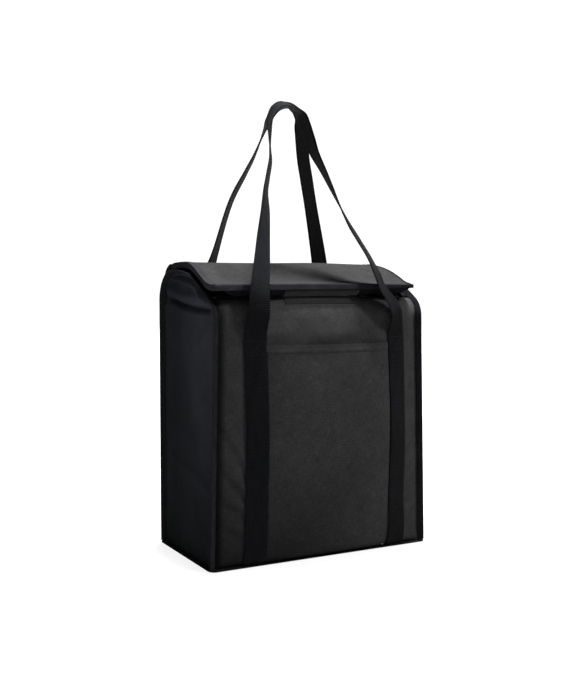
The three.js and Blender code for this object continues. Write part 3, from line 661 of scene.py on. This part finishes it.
def lid_point(x, y, depth, sag=0.0):
    """A place on the lid, depth below its top; sag lets the padding hang down inside the edges."""
    towards = clip((LID_BACK - y) / LID_CROWN_FADE)
    crown = LID_CROWN * (1 - (x / LID_HALF_WIDTH) ** 2) * towards
    soft = 0.7 * np.sin(x / 33 + 0.4) * np.sin(y / 21 + 0.9) + 0.5 * np.sin(x / 58 - 1.0)
    edge = clip((LID_HALF_WIDTH - np.abs(x)) / 14) * clip((y + LID_FRONT) / 14)
    hang = sag * LID_SAG * smooth(-98, -86, y) * smooth(58, 20, y) * (1 - smooth(136, 156, np.abs(x)))
    top = lid_edge_top(y) + crown + soft * towards * edge
    return stack(x, y, top - depth * lid_thinning(x, y) - hang)


def lid_half(side, y):
    """The lid's half width on one side."""
    return np.interp(y, LID_DEPTHS, LID_LEFT if side < 0 else LID_RIGHT)


def lid_reach(side, y, inset):
    """How far the lid reaches to one side, round its corner, drawn in by inset."""
    radius = LID_CORNER - inset
    into = np.minimum(LID_FRONT - LID_CORNER + y, 0)
    return lid_half(side, y) - inset - (radius - np.sqrt(np.maximum(radius ** 2 - into ** 2, 0)))


def lid_across(y, share, inset):
    """Places across the lid from its left edge to its right, for shares from -1 to 1."""
    return np.where(share < 0, lid_reach(-1, y, inset), lid_reach(1, y, inset)) * share


# ---- Mesh building

def turn_outwards(mesh):
    """Turns all faces over where the closed mesh is inside out."""
    points = np.empty(len(mesh.vertices) * 3)
    mesh.vertices.foreach_get("co", points)
    points = points.reshape(-1, 3)
    corners = np.array([p.vertices[:] for p in mesh.polygons if len(p.vertices) == 4])
    a, b, c, d = (points[corners[:, k]] for k in range(4))
    if np.sum(a * np.cross(b, c)) + np.sum(a * np.cross(c, d)) < 0:
        mesh.flip_normals()


def add_mesh(name, points, faces, uvs, look):
    """A mesh from points in millimetres; uvs has one pair in metres for each corner of each face."""
    mesh = bpy.data.meshes.new(name)
    mesh.from_pydata((np.asarray(points) * MM).tolist(), [], [list(map(int, f)) for f in faces])
    layer = mesh.uv_layers.new(name="cloth")
    layer.data.foreach_set("uv", np.asarray(uvs, dtype=np.float32).ravel())
    mesh.shade_smooth()
    mesh.set_sharp_from_angle(angle=math.radians(50))
    mesh.materials.append(LOOKS[look])
    turn_outwards(mesh)
    made = bpy.data.objects.new(name, mesh)
    bpy.context.collection.objects.link(made)
    return made


def shell(name, outer, inner, uv, look):
    """A thin closed sheet between two grids of points, with cloth coordinates for the grid."""
    rows, columns = outer.shape[:2]
    points = np.concatenate([outer.reshape(-1, 3), inner.reshape(-1, 3)])
    count = rows * columns
    grid = np.arange(count).reshape(rows, columns)
    a = grid[:-1, :-1].ravel()
    quads = stack(a, a + 1, a + columns + 1, a + columns)
    ring = np.concatenate([grid[0], grid[1:, -1], grid[-1, -2::-1], grid[-2:0:-1, 0]])
    following = np.roll(ring, -1)
    rim = stack(following, ring, ring + count, following + count)
    faces = np.concatenate([quads, quads[:, ::-1] + count, rim])
    flat = np.concatenate([uv.reshape(-1, 2)] * 2) * MM
    return add_mesh(name, points, faces, flat[faces.ravel()], look)


# Thickness of a band at its edges, as a share of the whole
BAND_EDGE = 0.45


def ribbon(name, centres, across, out, width, thickness, look, columns=6, closed=False, start=0.0):
    """A flat band with rounded edges along centres; its width may vary along it."""
    count = len(centres)
    across, out = (np.broadcast_to(np.asarray(v, float), centres.shape)[:, None] for v in (across, out))
    widths = np.broadcast_to(width, (count,))[:, None, None]
    flat = np.linspace(-0.5, 0.5, columns)
    w = np.concatenate([flat, [0.5], flat[::-1], [-0.5]])[:, None]
    face = np.ones(columns)
    face[[0, -1]] = BAND_EDGE
    h = np.concatenate([face, [0], -face, [0]])[:, None] * 0.5
    points = centres[:, None] + across * (w * widths) + out * (h * thickness)
    size = len(w)
    j, k = (v.ravel() for v in np.mgrid[:count if closed else count - 1, :size])
    nj, nk = (j + 1) % count, (k + 1) % size
    faces = stack(j * size + k, j * size + nk, nj * size + nk, nj * size + k)
    u = np.append(w, w[0]) * np.mean(width)
    v = run_along(np.concatenate([centres, centres[:1]])) + start
    ends = ((0, 0), (1, 0), (1, 1), (0, 1))
    uvs = np.stack([stack(u[k + right], v[j + ahead]) for right, ahead in ends], 1).reshape(-1, 2) * MM
    faces, uvs = faces.tolist(), uvs.tolist()
    if not closed:
        for base, turn in ((0, -1), ((count - 1) * size, 1)):
            cap = [base + m for m in range(size)][::turn]
            faces.append(cap)
            uvs += [[u[m - base] * MM, 0] for m in cap]
    return add_mesh(name, points.reshape(-1, 3), faces, uvs, look)


# Rings of a stitch: place along it, size and height above the cloth
STITCH_RINGS = (-0.5, 0.35, -0.15), (-0.28, 1, 0.25), (0.28, 1, 0.25), (0.5, 0.35, -0.15)


def stitches(name, lines, pitch=3.6, length=2.7, radius=0.32):
    """Small raised stitches along lines, each of points and the ways out of the cloth, or one way for all."""
    points, faces = [], []
    for line, out in lines:
        out = np.broadcast_to(np.asarray(out, float), line.shape)
        run = run_along(line)

        def at_run(values, at):
            return np.array([np.interp(np.clip(at, 0, run[-1]), run, values[:, k]) for k in range(3)])

        for at in np.arange(pitch / 2, run[-1] - length / 2, pitch):
            spot = at_run(line, at)
            way = at_run(line, at + 1) - at_run(line, at - 1)
            way /= max(np.linalg.norm(way), 1e-9)
            up = unit(at_run(out, at))
            side = np.cross(way, up)
            base = len(points)
            for t, r, lift in STITCH_RINGS:
                for angle in np.arange(5) * 2 * math.pi / 5:
                    points.append(spot + way * t * length + up * (radius * (lift + r * math.sin(angle)))
                                  + side * (radius * r * math.cos(angle)))
            for ring in range(base, base + 15, 5):
                for a, b in enumerate((1, 2, 3, 4, 0)):
                    faces.append([ring + a, ring + b, ring + 5 + b, ring + 5 + a])
            faces += [list(range(base + 4, base - 1, -1)), list(range(base + 15, base + 20))]
    return add_mesh(name, points, faces, np.zeros((sum(map(len, faces)), 2)), "thread")


def finish_piece(made, slot, *nodes, body="root"):
    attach(made, body)
    if nodes:
        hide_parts(*nodes)


# ---- The body's pieces

def wall_layer(name, wall, depth, thickness, edge, foot, look, relief=(1, 1), step=3.0):
    """One layer of a wall from its foot up, short of its seams by edge."""
    profile, length = WALLS[wall][:2]
    low = foot - WALL_FOOT
    s = np.linspace(low, length, int((length - low) / step) + 1)[:, None]
    y, z, _, _ = profile(s)
    share = np.linspace(-1, 1, int(2 * FOOT_HALF_WIDTH / step) + 1)
    x = (seam_half_width(y, z) - edge) * np.sign(share) * (1 - (1 - np.abs(share)) ** 1.25)
    outer = wall_point(wall, x, s, depth, relief[0])
    inner = wall_point(wall, x, s, depth + thickness, relief[1])
    return shell(name, outer, inner, stack(x, s), look)


def front_band(name, half, s0, s1, depth, thickness, look, columns, step=3.0, over=None):
    """A strip lying on the front from s0 to s1, thinner at its side edges."""
    gx, gs = np.meshgrid(np.linspace(-half, half, columns), np.linspace(s0, s1, int((s1 - s0) / step) + 1))
    extra = 0 if over is None else over(gx, gs)
    round_off = 0.45 * thickness * np.abs((gx + half) / half - 1) ** 14
    outer = wall_point("front", gx, gs, depth + round_off - extra)
    inner = wall_point("front", gx, gs, depth + thickness - extra)
    return shell(name, outer, inner, stack(gx, gs), look)


def pocket_gap(x, s):
    half = STRAP_X - WEB_WIDTH / 2
    side = 1 - np.minimum(np.abs(x) / half, 1) ** 4
    height = clip(s / (POCKET_MOUTH_Z - WALL_FOOT))
    return SEWN_GAP + POCKET_GAPE * side * np.sin(np.pi / 2 * height)


def make_walls():
    made = wall_layer("front_canvas", "front", 0, CLOTH, 0, WALL_FOOT, "canvas")
    finish_piece(made, "canvas", "front_panel")
    for wall in ("front", "back"):
        made = wall_layer(f"{wall}_foam", wall, FOAM_DEPTH, FOAM, FOAM_DEPTH, BOTTOM_FOAM_Z, "foam",
                          (1, 0), 5)
        finish_piece(made, "foam", f"{wall}_insulation")
        made = wall_layer(f"{wall}_inner_lining", wall, LINING_DEPTH, LINING, LINING_DEPTH, WALL_LINING_FOOT,
                          "lining", (0, 0), 4)
        finish_piece(made, "lining", f"{wall}_lining")


def side_layer(name, side, depth, thickness, inset, foot, look, step=2.5, top_inset=None):
    """One layer of a side, drawn in by inset at its seams; at its free top edge that can be less."""
    u = np.linspace(0, 1, int(2 * HALF_DEPTH / step) + 1)
    y = -np.cos(np.pi * u) * (HALF_DEPTH - inset)
    top = side_top(y, inset)
    if top_inset is not None:
        top = lerp(top, side_top(y, top_inset), clip((y + 64) / 4) * clip((79.5 - y) / 4))
    z = foot + (top - foot) * np.linspace(0, 1, int(400 / step))[:, None]
    outer, inner = (side_point(side, y, z, d) for d in (depth, depth + thickness))
    return shell(name, outer, inner, stack(y, z), look)


def make_sides():
    for name, side in SIDES:
        made = side_layer(f"{name}_side_cloth", side, 0, CLOTH, FOAM_DEPTH, WALL_FOOT, "side_cloth",
                          top_inset=0.15)
        finish_piece(made, "side_cloth", f"{name}_side_panel")
        made = side_layer(f"{name}_foam", side, FOAM_DEPTH, FOAM, LINING_DEPTH, BOTTOM_FOAM_Z, "foam")
        finish_piece(made, "foam", f"{name}_insulation")
        made = side_layer(f"{name}_inner_lining", side, LINING_DEPTH, LINING, WALL_DEPTH + GAP,
                          WALL_LINING_FOOT, "lining", 3)
        finish_piece(made, "lining", f"{name}_lining")


def flat_layer(name, inset, low, thickness, look):
    halves = FOOT_HALF_WIDTH - inset, HALF_DEPTH - inset
    gx, gy = np.meshgrid(*(np.linspace(-half, half, int(half / 3)) for half in halves))
    gx = spread(gx)
    return shell(name, stack(gx, gy, low + thickness), stack(gx, gy, low), stack(gx, gy), look)


def make_bottom():
    made = flat_layer("bottom_canvas", GAP, 0, CLOTH, "canvas")
    finish_piece(made, "canvas", "bottom_panel")
    lined = LINING_DEPTH + 2 * GAP
    made = flat_layer("bottom_foam", lined, BOTTOM_FOAM_Z, FOAM, "foam")
    finish_piece(made, "foam", "bottom_insulation")
    made = flat_layer("bottom_inner_lining", lined, BOTTOM_LINING_Z, LINING, "lining")
    finish_piece(made, "lining", "bottom_lining")
    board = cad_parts["base_board"]
    board.data.materials.clear()
    board.data.materials.append(LOOKS["board"])


# ---- Tapes

def side_outline():
    """Places and ways out along the side's edge, from the front foot over the top to the back foot."""
    places = [(-HALF_DEPTH, h, -1.0, 0.0) for h in np.arange(WALL_FOOT, ARCS[0][1], OUTLINE_STEP)]
    for k, (cy, cz, radius, start, end) in enumerate(ARCS):
        if k == 1:
            before = np.array(places[-1])
            after = np.array([cy + radius * before[2], cz + radius * before[3], *before[2:]])
            places += [tuple(lerp(before, after, t)) for t in np.linspace(0, 1, 10)[1:-1]]
        count = max(int(radius * (end - start) / OUTLINE_STEP), 4) + 1
        for turn in np.linspace(start, end, count):
            ny, nz = facing(turn)
            places.append((cy + radius * ny, cz + radius * nz, ny, nz))
    places = [p for n, p in enumerate(places) if n == 0 or math.dist(p[:2], places[n - 1][:2]) > 0.5]
    down = np.append(np.arange(ARCS[2][1] - OUTLINE_STEP, WALL_FOOT, -OUTLINE_STEP), WALL_FOOT)
    return np.array(places + [(HALF_DEPTH, h, 1.0, 0.0) for h in down])


def make_seam_tapes():
    sideways = math.sqrt(1 - FIN_OUTWARD ** 2)
    places = side_outline()
    y, z, ny, nz = places.T
    run = run_along(places[:, :2])
    for name, side in SIDES:
        across = stack(side * sideways, FIN_OUTWARD * ny, FIN_OUTWARD * nz)
        out = stack(-side * FIN_OUTWARD, sideways * ny, sideways * nz)
        sway = (0.35 * np.sin(run / 13 + side) + 0.25 * np.sin(run / 5.3)) * clip(run / 20)
        sway = sway * clip((run[-1] - run) / 20)
        at = stack(spread(side * seam_half_width(y, z)), y, z)
        at = at + across * (FIN_STEP + (FIN_LENGTH - TAPE_GRIP) / 2) + out * (0.5 * sway)[:, None]
        # The left fin takes the paler copy of the tape, painted light.
        look = "painted_light_left_tape" if side < 0 else "tape"
        made = ribbon(f"{name}_seam_tape", at, across, unit(out), FIN_LENGTH + TAPE_GRIP, FIN_THICKNESS, look)
        finish_piece(made, "tape", f"{name}_seam_binding")
        seam = at + across * (-FIN_LENGTH / 2 + 5.6)
        lines = [(seam + out * (face * (FIN_THICKNESS / 2 + 0.05)), out * face) for face in (-1, 1)]
        finish_piece(stitches(f"{name}_seam_stitches", lines), "thread")


def make_hinge_tapes():
    """Tape over the back's open side edges, from the side's corner up to the hinge."""
    s = np.linspace(ARCS[2][1] - WALL_FOOT - 6, BACK_LENGTH - 4, 30)
    y, z, ny, nz = back_profile(s)
    half = seam_half_width(y, z)
    for name, side in SIDES:
        centres = wall_point("back", side * half, s, WALL_DEPTH / 2, 0.0) + [side * 0.2, 0, 0]
        made = ribbon(f"{name}_hinge_tape", centres, stack(0, ny, nz), [side, 0, 0], WALL_DEPTH + 2.4,
                      FIN_THICKNESS + 0.6, "tape")
        finish_piece(made, "tape")


def make_bottom_tape():
    reach = FIN_STEP + (FIN_LENGTH - TAPE_GRIP) / 2
    corner = 2
    centres, across = [], []
    for sx, sy, start in ((1, -1, -90), (1, 1, 0), (-1, 1, 90), (-1, -1, 180)):
        middle = np.array([sx * (FOOT_HALF_WIDTH - corner), sy * (HALF_DEPTH - corner), WALL_FOOT / 2])
        for a in np.radians(start + 15 * np.arange(7)):
            across.append(np.array([math.cos(a), math.sin(a), 0]))
            centres.append(middle + across[-1] * (corner + reach))
    dense, ways = [], []
    for n in range(len(centres)):
        a, b = centres[n], centres[(n + 1) % len(centres)]
        parts = max(int(np.linalg.norm(b - a) / 4), 1)
        for t in np.arange(parts) / parts:
            dense.append(lerp(a, b, t))
            ways.append(unit(lerp(across[n], across[(n + 1) % len(centres)], t)))
    dense, ways = np.array(dense), np.array(ways)
    dense[:, 0] = spread(dense[:, 0])
    made = ribbon("bottom_tape", dense, ways, [0, 0, 1], FIN_LENGTH + TAPE_GRIP, FIN_THICKNESS, "tape",
                  closed=True)
    finish_piece(made, "tape", "bottom_binding")
    line = dense + ways * (-FIN_LENGTH / 2 + 5.4) + [0, 0, FIN_THICKNESS / 2 + 0.05]
    line = np.concatenate([line, line[:1]])
    finish_piece(stitches("bottom_stitches", [(line, [0, 0, 1])]), "thread")


def make_mouth_tapes():
    reach = SHOULDER_HALF_WIDTH - LINING_DEPTH
    start = FRONT_LENGTH + GAP
    gx, gs = np.meshgrid(np.linspace(-reach, reach, 80), np.linspace(start, start + MOUTH_TAPE, 4))
    y, z, ny, nz = front_profile(gs)
    grid = [stack(spread(gx), y - ny * d, z - nz * d) for d in (0, WALL_DEPTH)]
    made = shell("front_mouth_tape", *grid, stack(gx, gs), "tape")
    finish_piece(made, "tape", "front_mouth_binding")
    y, _, ny, _ = front_profile(start + MOUTH_TAPE)
    first = float(y - ny * WALL_DEPTH + 2 * GAP)
    for name, side in SIDES:
        gd, gy = np.meshgrid(np.linspace(FOAM_DEPTH, WALL_DEPTH, 4), np.linspace(first, CROWN_END_Y, 50))
        grid = []
        for inset in (GAP, LINING_DEPTH - GAP):
            z = side_top(gy, inset)
            grid.append(stack(spread(side * (seam_half_width(gy, z) - gd)), gy, z))
        made = shell(f"{name}_mouth_tape", *grid, stack(gd, gy), "tape")
        finish_piece(made, "tape", f"{name}_mouth_binding")


# ---- Pocket

def make_pocket():
    half = STRAP_X - WEB_WIDTH / 2 - GAP
    mouth = POCKET_MOUTH_Z - WALL_FOOT
    made = front_band("pocket_canvas", half, 0, mouth, -POCKET_CLOTH, POCKET_CLOTH, "canvas", 70,
                      over=pocket_gap)
    finish_piece(made, "canvas", "pocket_panel")
    hem = POCKET_CLOTH + GAP
    made = front_band("pocket_hem_fold", half, mouth - HEM_HEIGHT, mouth + 0.4,
                      -hem - POCKET_CLOTH / 2, POCKET_CLOTH / 2, "canvas", 70, 1.5,
                      lambda x, s: pocket_gap(x, s) - 1.3 * smooth(mouth - 8, mouth - HEM_HEIGHT, s))
    finish_piece(made, "canvas", "pocket_hem")
    lines = []
    x = np.linspace(-half + 2, half - 2, 80)
    for s in (mouth - HEM_HEIGHT + 2, mouth - 2):
        line = wall_point("front", x, np.full_like(x, s), -hem - POCKET_CLOTH / 2 - 0.02 - pocket_gap(x, s))
        lines.append((line, [0, -1, 0]))
    finish_piece(stitches("pocket_stitches", lines, radius=0.2), "thread")


# ---- Webbing

def catmull(points, samples):
    """A smooth way through points, evenly sampled by length."""
    chord = np.linalg.norm(np.diff(points[:, :3], axis=0), axis=1) ** 0.5
    knots = np.concatenate([[0], np.cumsum(chord)])
    slopes = np.empty_like(points)
    slopes[1:-1] = (points[2:] - points[:-2]) / (knots[2:] - knots[:-2])[:, None]
    slopes[0] = (points[1] - points[0]) / chord[0]
    slopes[-1] = (points[-1] - points[-2]) / chord[-1]
    t = np.linspace(0, knots[-1], samples * 8)
    k = np.clip(np.searchsorted(knots, t, "right") - 1, 0, len(points) - 2)
    h = chord[k][:, None]
    f = ((t - knots[k]) / chord[k])[:, None]
    path = hermite(f, points[k], points[k + 1], h * slopes[k], h * slopes[k + 1])
    run = run_along(path[:, :3])
    spots = np.linspace(0, run[-1], samples)
    return stack(*(np.interp(spots, run, column) for column in path.T))


def band_frames(path, turns):
    """Ways across and out of a band; its turn is 0 or 180 facing front and 90 lying fore and aft."""
    tangent = unit(np.gradient(path, axis=0))
    angle = np.radians(turns)[:, None]
    fore = np.array([0.0, 1.0, 0.0])
    aft = unit(fore - (tangent @ fore)[:, None] * tangent)
    across = unit(np.sin(angle) * aft - np.cos(angle) * np.cross(tangent, aft))
    return across, unit(np.cross(across, tangent))


# Places along the loops from the left foot to the right one, with the band's turn in degrees
LOOPS = {"front": [
    (-110, -114, 357, 2), (-108.6, -112.1, 380.9, 9), (-99.7, -100.8, 416, 17.5),
    (-89.7, -85.6, 449.2, 26), (-76.8, -66.7, 490.4, 38.5), (-69.9, -54.4, 520.7, 51),
    (-62.6, -46.7, 542.8, 54), (-55.2, -39.7, 565, 56), (-52.6, -34, 584.2, 61),
    (-50.4, -29.2, 601.9, 67.5), (-46.9, -23.7, 624.2, 78), (-35.2, -19, 643.7, 97),
    (-22.6, -18.5, 650.4, 110), (-11.9, -18.5, 648.6, 110), (-0.1, -20.2, 641.5, 100),
    (6.9, -22.1, 631.7, 94), (14.2, -29.1, 602.3, 93), (19.1, -35.3, 580.1, 96),
    (29.8, -43.2, 553.8, 104.5), (40.4, -53.7, 523, 114), (46.5, -60.8, 503.9, 121),
    (55.3, -73, 476, 127.5), (64.8, -84, 452.7, 130), (73.7, -98, 427.9, 132),
    (80.1, -110.2, 403.4, 138), (85.8, -113.5, 386.3, 137), (97.5, -114.5, 370.5, 139),
    (107, -114, 357, 149),
], "back": [
    (-110, 100, 357, 0), (-102.3, 98.4, 386, 18), (-88, 91.1, 424.4, 46), (-70.2, 65.4, 509.9, 55.5),
    (-50.3, 50.7, 557.5, 60.5), (-41.3, 44.3, 578.2, 63), (-33.5, 37.1, 601.6, 67.5),
    (-27.1, 31.1, 622.1, 76), (-24.7, 27, 633.5, 82), (-17.6, 19.5, 647.6, 98), (-2.4, 19, 655.5, 116),
    (6.9, 19.5, 654.1, 128), (15.9, 21.4, 650, 140), (25.3, 24.7, 641.6, 151), (31.5, 29.6, 627.8, 156),
    (44.2, 43.4, 581.9, 157.5), (54.2, 51.9, 554.1, 158), (71.4, 66.4, 506.2, 158.5),
    (100.6, 91.5, 423.5, 170), (107, 98, 386, 176), (110, 100, 357, 180),
]}


def loop_course(name):
    """The loop's middle line, with the ways across and out of its band."""
    dense = catmull(np.array(LOOPS[name], float), 280)
    return dense[:, :3], *band_frames(dense[:, :3], dense[:, 3])


def make_loop(name):
    path, across, out = loop_course(name)
    made = ribbon(f"{name}_handle_webbing", path, across, out, WEB_WIDTH, WEB_THICKNESS, "webbing",
                  columns=14, start=40)
    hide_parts(f"{name}_handle_loop")
    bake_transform(made)
    lines = []
    for edge in (-1, 1):
        offset = across * (edge * (WEB_WIDTH / 2 - SEAM_ALLOWANCE))
        for face in (-1, 1):
            lines.append((path + offset + out * (face * (WEB_THICKNESS / 2 + 0.03)), out * face))
    stitched = stitches(f"{name}_handle_stitches", lines)
    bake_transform(stitched)


def strap_x(wall, side):
    return side * STRAP_X + (LEFT_STRAP_SHIFT if wall == "front" and side < 0 else 0)


def make_straps():
    s = np.linspace(0, TACK_Z - WALL_FOOT, 110)
    for wall, sign in (("front", -1), ("back", 1)):
        course, loop_across, _ = loop_course(wall)
        for name, side in SIDES:
            foot = STRAP_FOOT_SHIFT.get((wall, side), 0) * (1 - smooth(20, 85, s))
            x = strap_x(wall, side) + foot
            low, mid, high = (
                wall_point(wall, x + share * WEB_WIDTH, s, STRAP_DEPTH + WEB_THICKNESS / 2)
                for share in (-0.5, 0, 0.5)
            )
            across = unit(high - low)
            end, beyond = (0, 1) if side < 0 else (-1, -2)
            head, towards = course[end], course[beyond] - course[end]
            reach = np.linalg.norm(head - mid[-1])
            t = np.linspace(0, 1, 24)[1:, None]
            m0, m1 = unit(mid[-1] - mid[-2]) * reach, unit(towards) * reach
            path = np.concatenate([mid, hermite(t, mid[-1], head, m0, m1)])
            last = loop_across[end] * np.sign(loop_across[end][0])
            ways = unit(np.concatenate([across, lerp(across[-1], last, t)]))
            tangent = unit(np.gradient(path, axis=0))
            tangent[-1] = unit(towards)
            out = unit(np.cross(ways, tangent))
            out = out * np.sign(np.sum(out * [0, sign, 0], -1))[:, None]
            ways = unit(ways - np.sum(ways * tangent, -1, keepdims=True) * tangent)
            made = ribbon(f"{wall}_{name}_webbing", path, ways, out, WEB_WIDTH, WEB_THICKNESS,
                          "webbing", columns=14)
            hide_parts(f"{wall}_{name}_strap", f"{wall}_{name}_leg")
            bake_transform(made)
            make_strap_stitches(wall, name, side, sign)


def make_strap_stitches(wall, name, side, sign):
    top = TACK_Z - WALL_FOOT - SEAM_ALLOWANCE

    def line(x0, s0, x1, s1, count=60):
        t = np.linspace(0, 1, count)
        x = strap_x(wall, side) + lerp(x0, x1, t)
        return wall_point(wall, x, lerp(s0, s1, t), STRAP_DEPTH - 0.05), [0, sign, 0]

    edge = WEB_WIDTH / 2 - SEAM_ALLOWANCE
    runs = [line(x, 3, x, top - 22, 120) for x in (-edge, edge)]
    finish_piece(stitches(f"{wall}_{name}_strap_stitches", runs), "thread")
    low = top - 20
    box = [line(-edge, s, edge, s) for s in (low, top)] + [line(x, low, x, top) for x in (-edge, edge)]
    box += [line(x, low, -x, top) for x in (-edge, edge)]
    box += [line(-edge, s, edge, s) for s in (low + 1.4, top - 1.4)]
    made = stitches(f"{wall}_{name}_box_stitches", box, pitch=2.9, length=2.3, radius=0.4)
    finish_piece(made, "thread", f"{wall}_{name}_bar_tack")


# ---- Lid

def lid_rows(inset, end):
    """Depths from the lid's front round its corner and on to the end."""
    corner = (LID_CORNER - inset) * (1 - np.cos(np.pi / 2 * np.linspace(0, 1, 12))) + inset
    return np.concatenate([corner - LID_FRONT, np.linspace(LID_CORNER - LID_FRONT, end, 60)[1:]])


def lid_layer(name, depth, thickness, look, sag, inset=LID_TAPE + GAP, back=0):
    y = lid_rows(inset, LID_BACK - back)[:, None]
    x = lid_across(y, np.linspace(-1, 1, 110), inset)
    outer, inner = lid_point(x, y, depth, sag[0]), lid_point(x, y, depth + thickness, sag[1])
    return shell(name, outer, inner, stack(x, y), look)


def make_cover():
    """One canvas that goes up the back, over the hinge and on over the lid."""
    s = np.linspace(0, BACK_LENGTH, 140)[:, None]
    y, z, _, _ = back_profile(s)
    share = np.linspace(-1, 1, 111)
    x_back = seam_half_width(y, z) * share
    inset = LID_TAPE + GAP
    rows = lid_rows(inset, LID_BACK)[::-1, None]
    x_lid = lid_across(rows, share, inset)
    outer, inner = (
        np.concatenate([wall_point("back", x_back, s, back), lid_point(x_lid, rows, lid)])
        for back, lid in ((0, 0), (CLOTH, LID_CLOTH))
    )
    along = np.concatenate([s, BACK_LENGTH + (LID_BACK - rows)])
    uv = stack(np.concatenate([x_back, x_lid]), along)
    made = shell("back_and_lid_canvas", outer, inner, uv, "canvas")
    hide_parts("back_panel", "lid_cover")
    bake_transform(made)


def lid_outline(inset):
    """The lid's edge from its left hinge end round the front to the right, with the ways out."""
    radius = LID_CORNER - inset
    corner_y = -LID_FRONT + LID_CORNER
    halves = []
    for side in (-1, 1):
        places = []
        for y in np.arange(LID_BACK - GAP, corner_y, -OUTLINE_STEP):
            lean = (lid_half(side, y + 2) - lid_half(side, y - 2)) / 4
            places.append((lid_half(side, y) - inset, y, *unit(np.array([1.0, -lean]))))
        corner_x = lid_half(side, corner_y) - LID_CORNER
        for a in np.linspace(0, math.pi / 2, 12):
            ahead, aside = math.sin(a), math.cos(a)
            places.append((corner_x + radius * aside, corner_y - radius * ahead, aside, -ahead))
        for x in np.arange(corner_x - OUTLINE_STEP, 1, -OUTLINE_STEP):
            places.append((x, -LID_FRONT + inset, 0.0, -1.0))
        halves.append(np.array(places) * [side, 1, side, 1])
    middle = np.array([[0.0, -LID_FRONT + inset, 0.0, -1.0]])
    return np.concatenate([halves[0], middle, halves[1][::-1]])


def make_lid():
    make_cover()
    made = lid_layer("lid_foam", LID_CLOTH + GAP, LID_FOAM, "foam", (0, 1), inset=LID_TAPE + 4, back=6)
    finish_piece(made, "foam", "lid_insulation", body="lid")
    # The lid's lining takes the near-black copy, painted shade under the lid.
    made = lid_layer("lid_inner_lining", LID_LINING_DEPTH, LINING, "shaded_lining", (1, 1))
    finish_piece(made, "lining", "lid_lining", body="lid")
    x, y, nx, ny = lid_outline(LID_TAPE / 2).T
    height = LID_DEPTH + 0.8
    centre = lid_point(x, y, height / 2 - 0.4)
    across = stack(nx, ny, 0)
    made = ribbon("lid_tape", centre, [0, 0, 1], across, height * lid_thinning(x, y), LID_TAPE, "lid_tape",
                  columns=8)
    finish_piece(made, "lid_tape", "lid_binding", body="lid")
    for name, side in SIDES:
        x, y, nx, ny = lid_outline(LID_LIP / 2).T
        kept = (x * side > 0) & (np.abs(nx) > 0.6) & (y < (99 if side < 0 else -78))
        centre = lid_point(x[kept], y[kept], -0.35)
        ahead = stack(nx[kept], ny[kept], 0)
        tangent = unit(np.gradient(centre, axis=0))
        up = unit(np.cross(ahead, tangent))
        up = up * np.sign(up[:, 2:])
        made = ribbon(f"lid_{name}_tape_lip", centre, ahead, up, LID_LIP, LID_LIP_THICKNESS, "lid_tape")
        finish_piece(made, "lid_tape", body="lid")
    x, y, nx, _ = lid_outline(LID_TAPE + 3.6).T
    top = lid_point(x, y, -0.05 - 0.75 * (np.abs(nx) > 0.6))
    under = lid_point(x, y, LID_DEPTH + 0.05)
    lines = [(top, [0, 0, 1]), (under, [0, 0, -1])]
    finish_piece(stitches("lid_stitches", lines), "thread", body="lid")


def make_closure():
    gx, gy = np.meshgrid(np.linspace(-CLOSURE_HALF_LENGTH, CLOSURE_HALF_LENGTH, 40),
                         np.linspace(*HOOK_STRIP_REACH, 8))
    depth = LID_DEPTH + GAP
    grid = [lid_point(gx, gy, d, 1) for d in (depth, depth + CLOSURE_THICKNESS)]
    made = shell("hook_tape", *grid, stack(gx, gy), "hook_and_loop")
    finish_piece(made, "hook_and_loop", "hook_strip", body="lid")
    low, high = (FRONT_RISE + CORNER_RADIUS * math.radians(turn) for turn in LOOP_STRIP_TURNS)
    made = front_band("loop_tape", CLOSURE_HALF_LENGTH, low, high, -GAP - CLOSURE_THICKNESS,
                      CLOSURE_THICKNESS, "hook_and_loop", 40, 2)
    finish_piece(made, "hook_and_loop", "loop_strip")


make_camera()
make_surroundings()
LOOKS = make_looks()
make_walls()
make_sides()
make_bottom()
make_seam_tapes()
make_hinge_tapes()
make_bottom_tape()
make_mouth_tapes()
make_pocket()
make_straps()
make_loop("front")
make_loop("back")
make_lid()
make_closure()
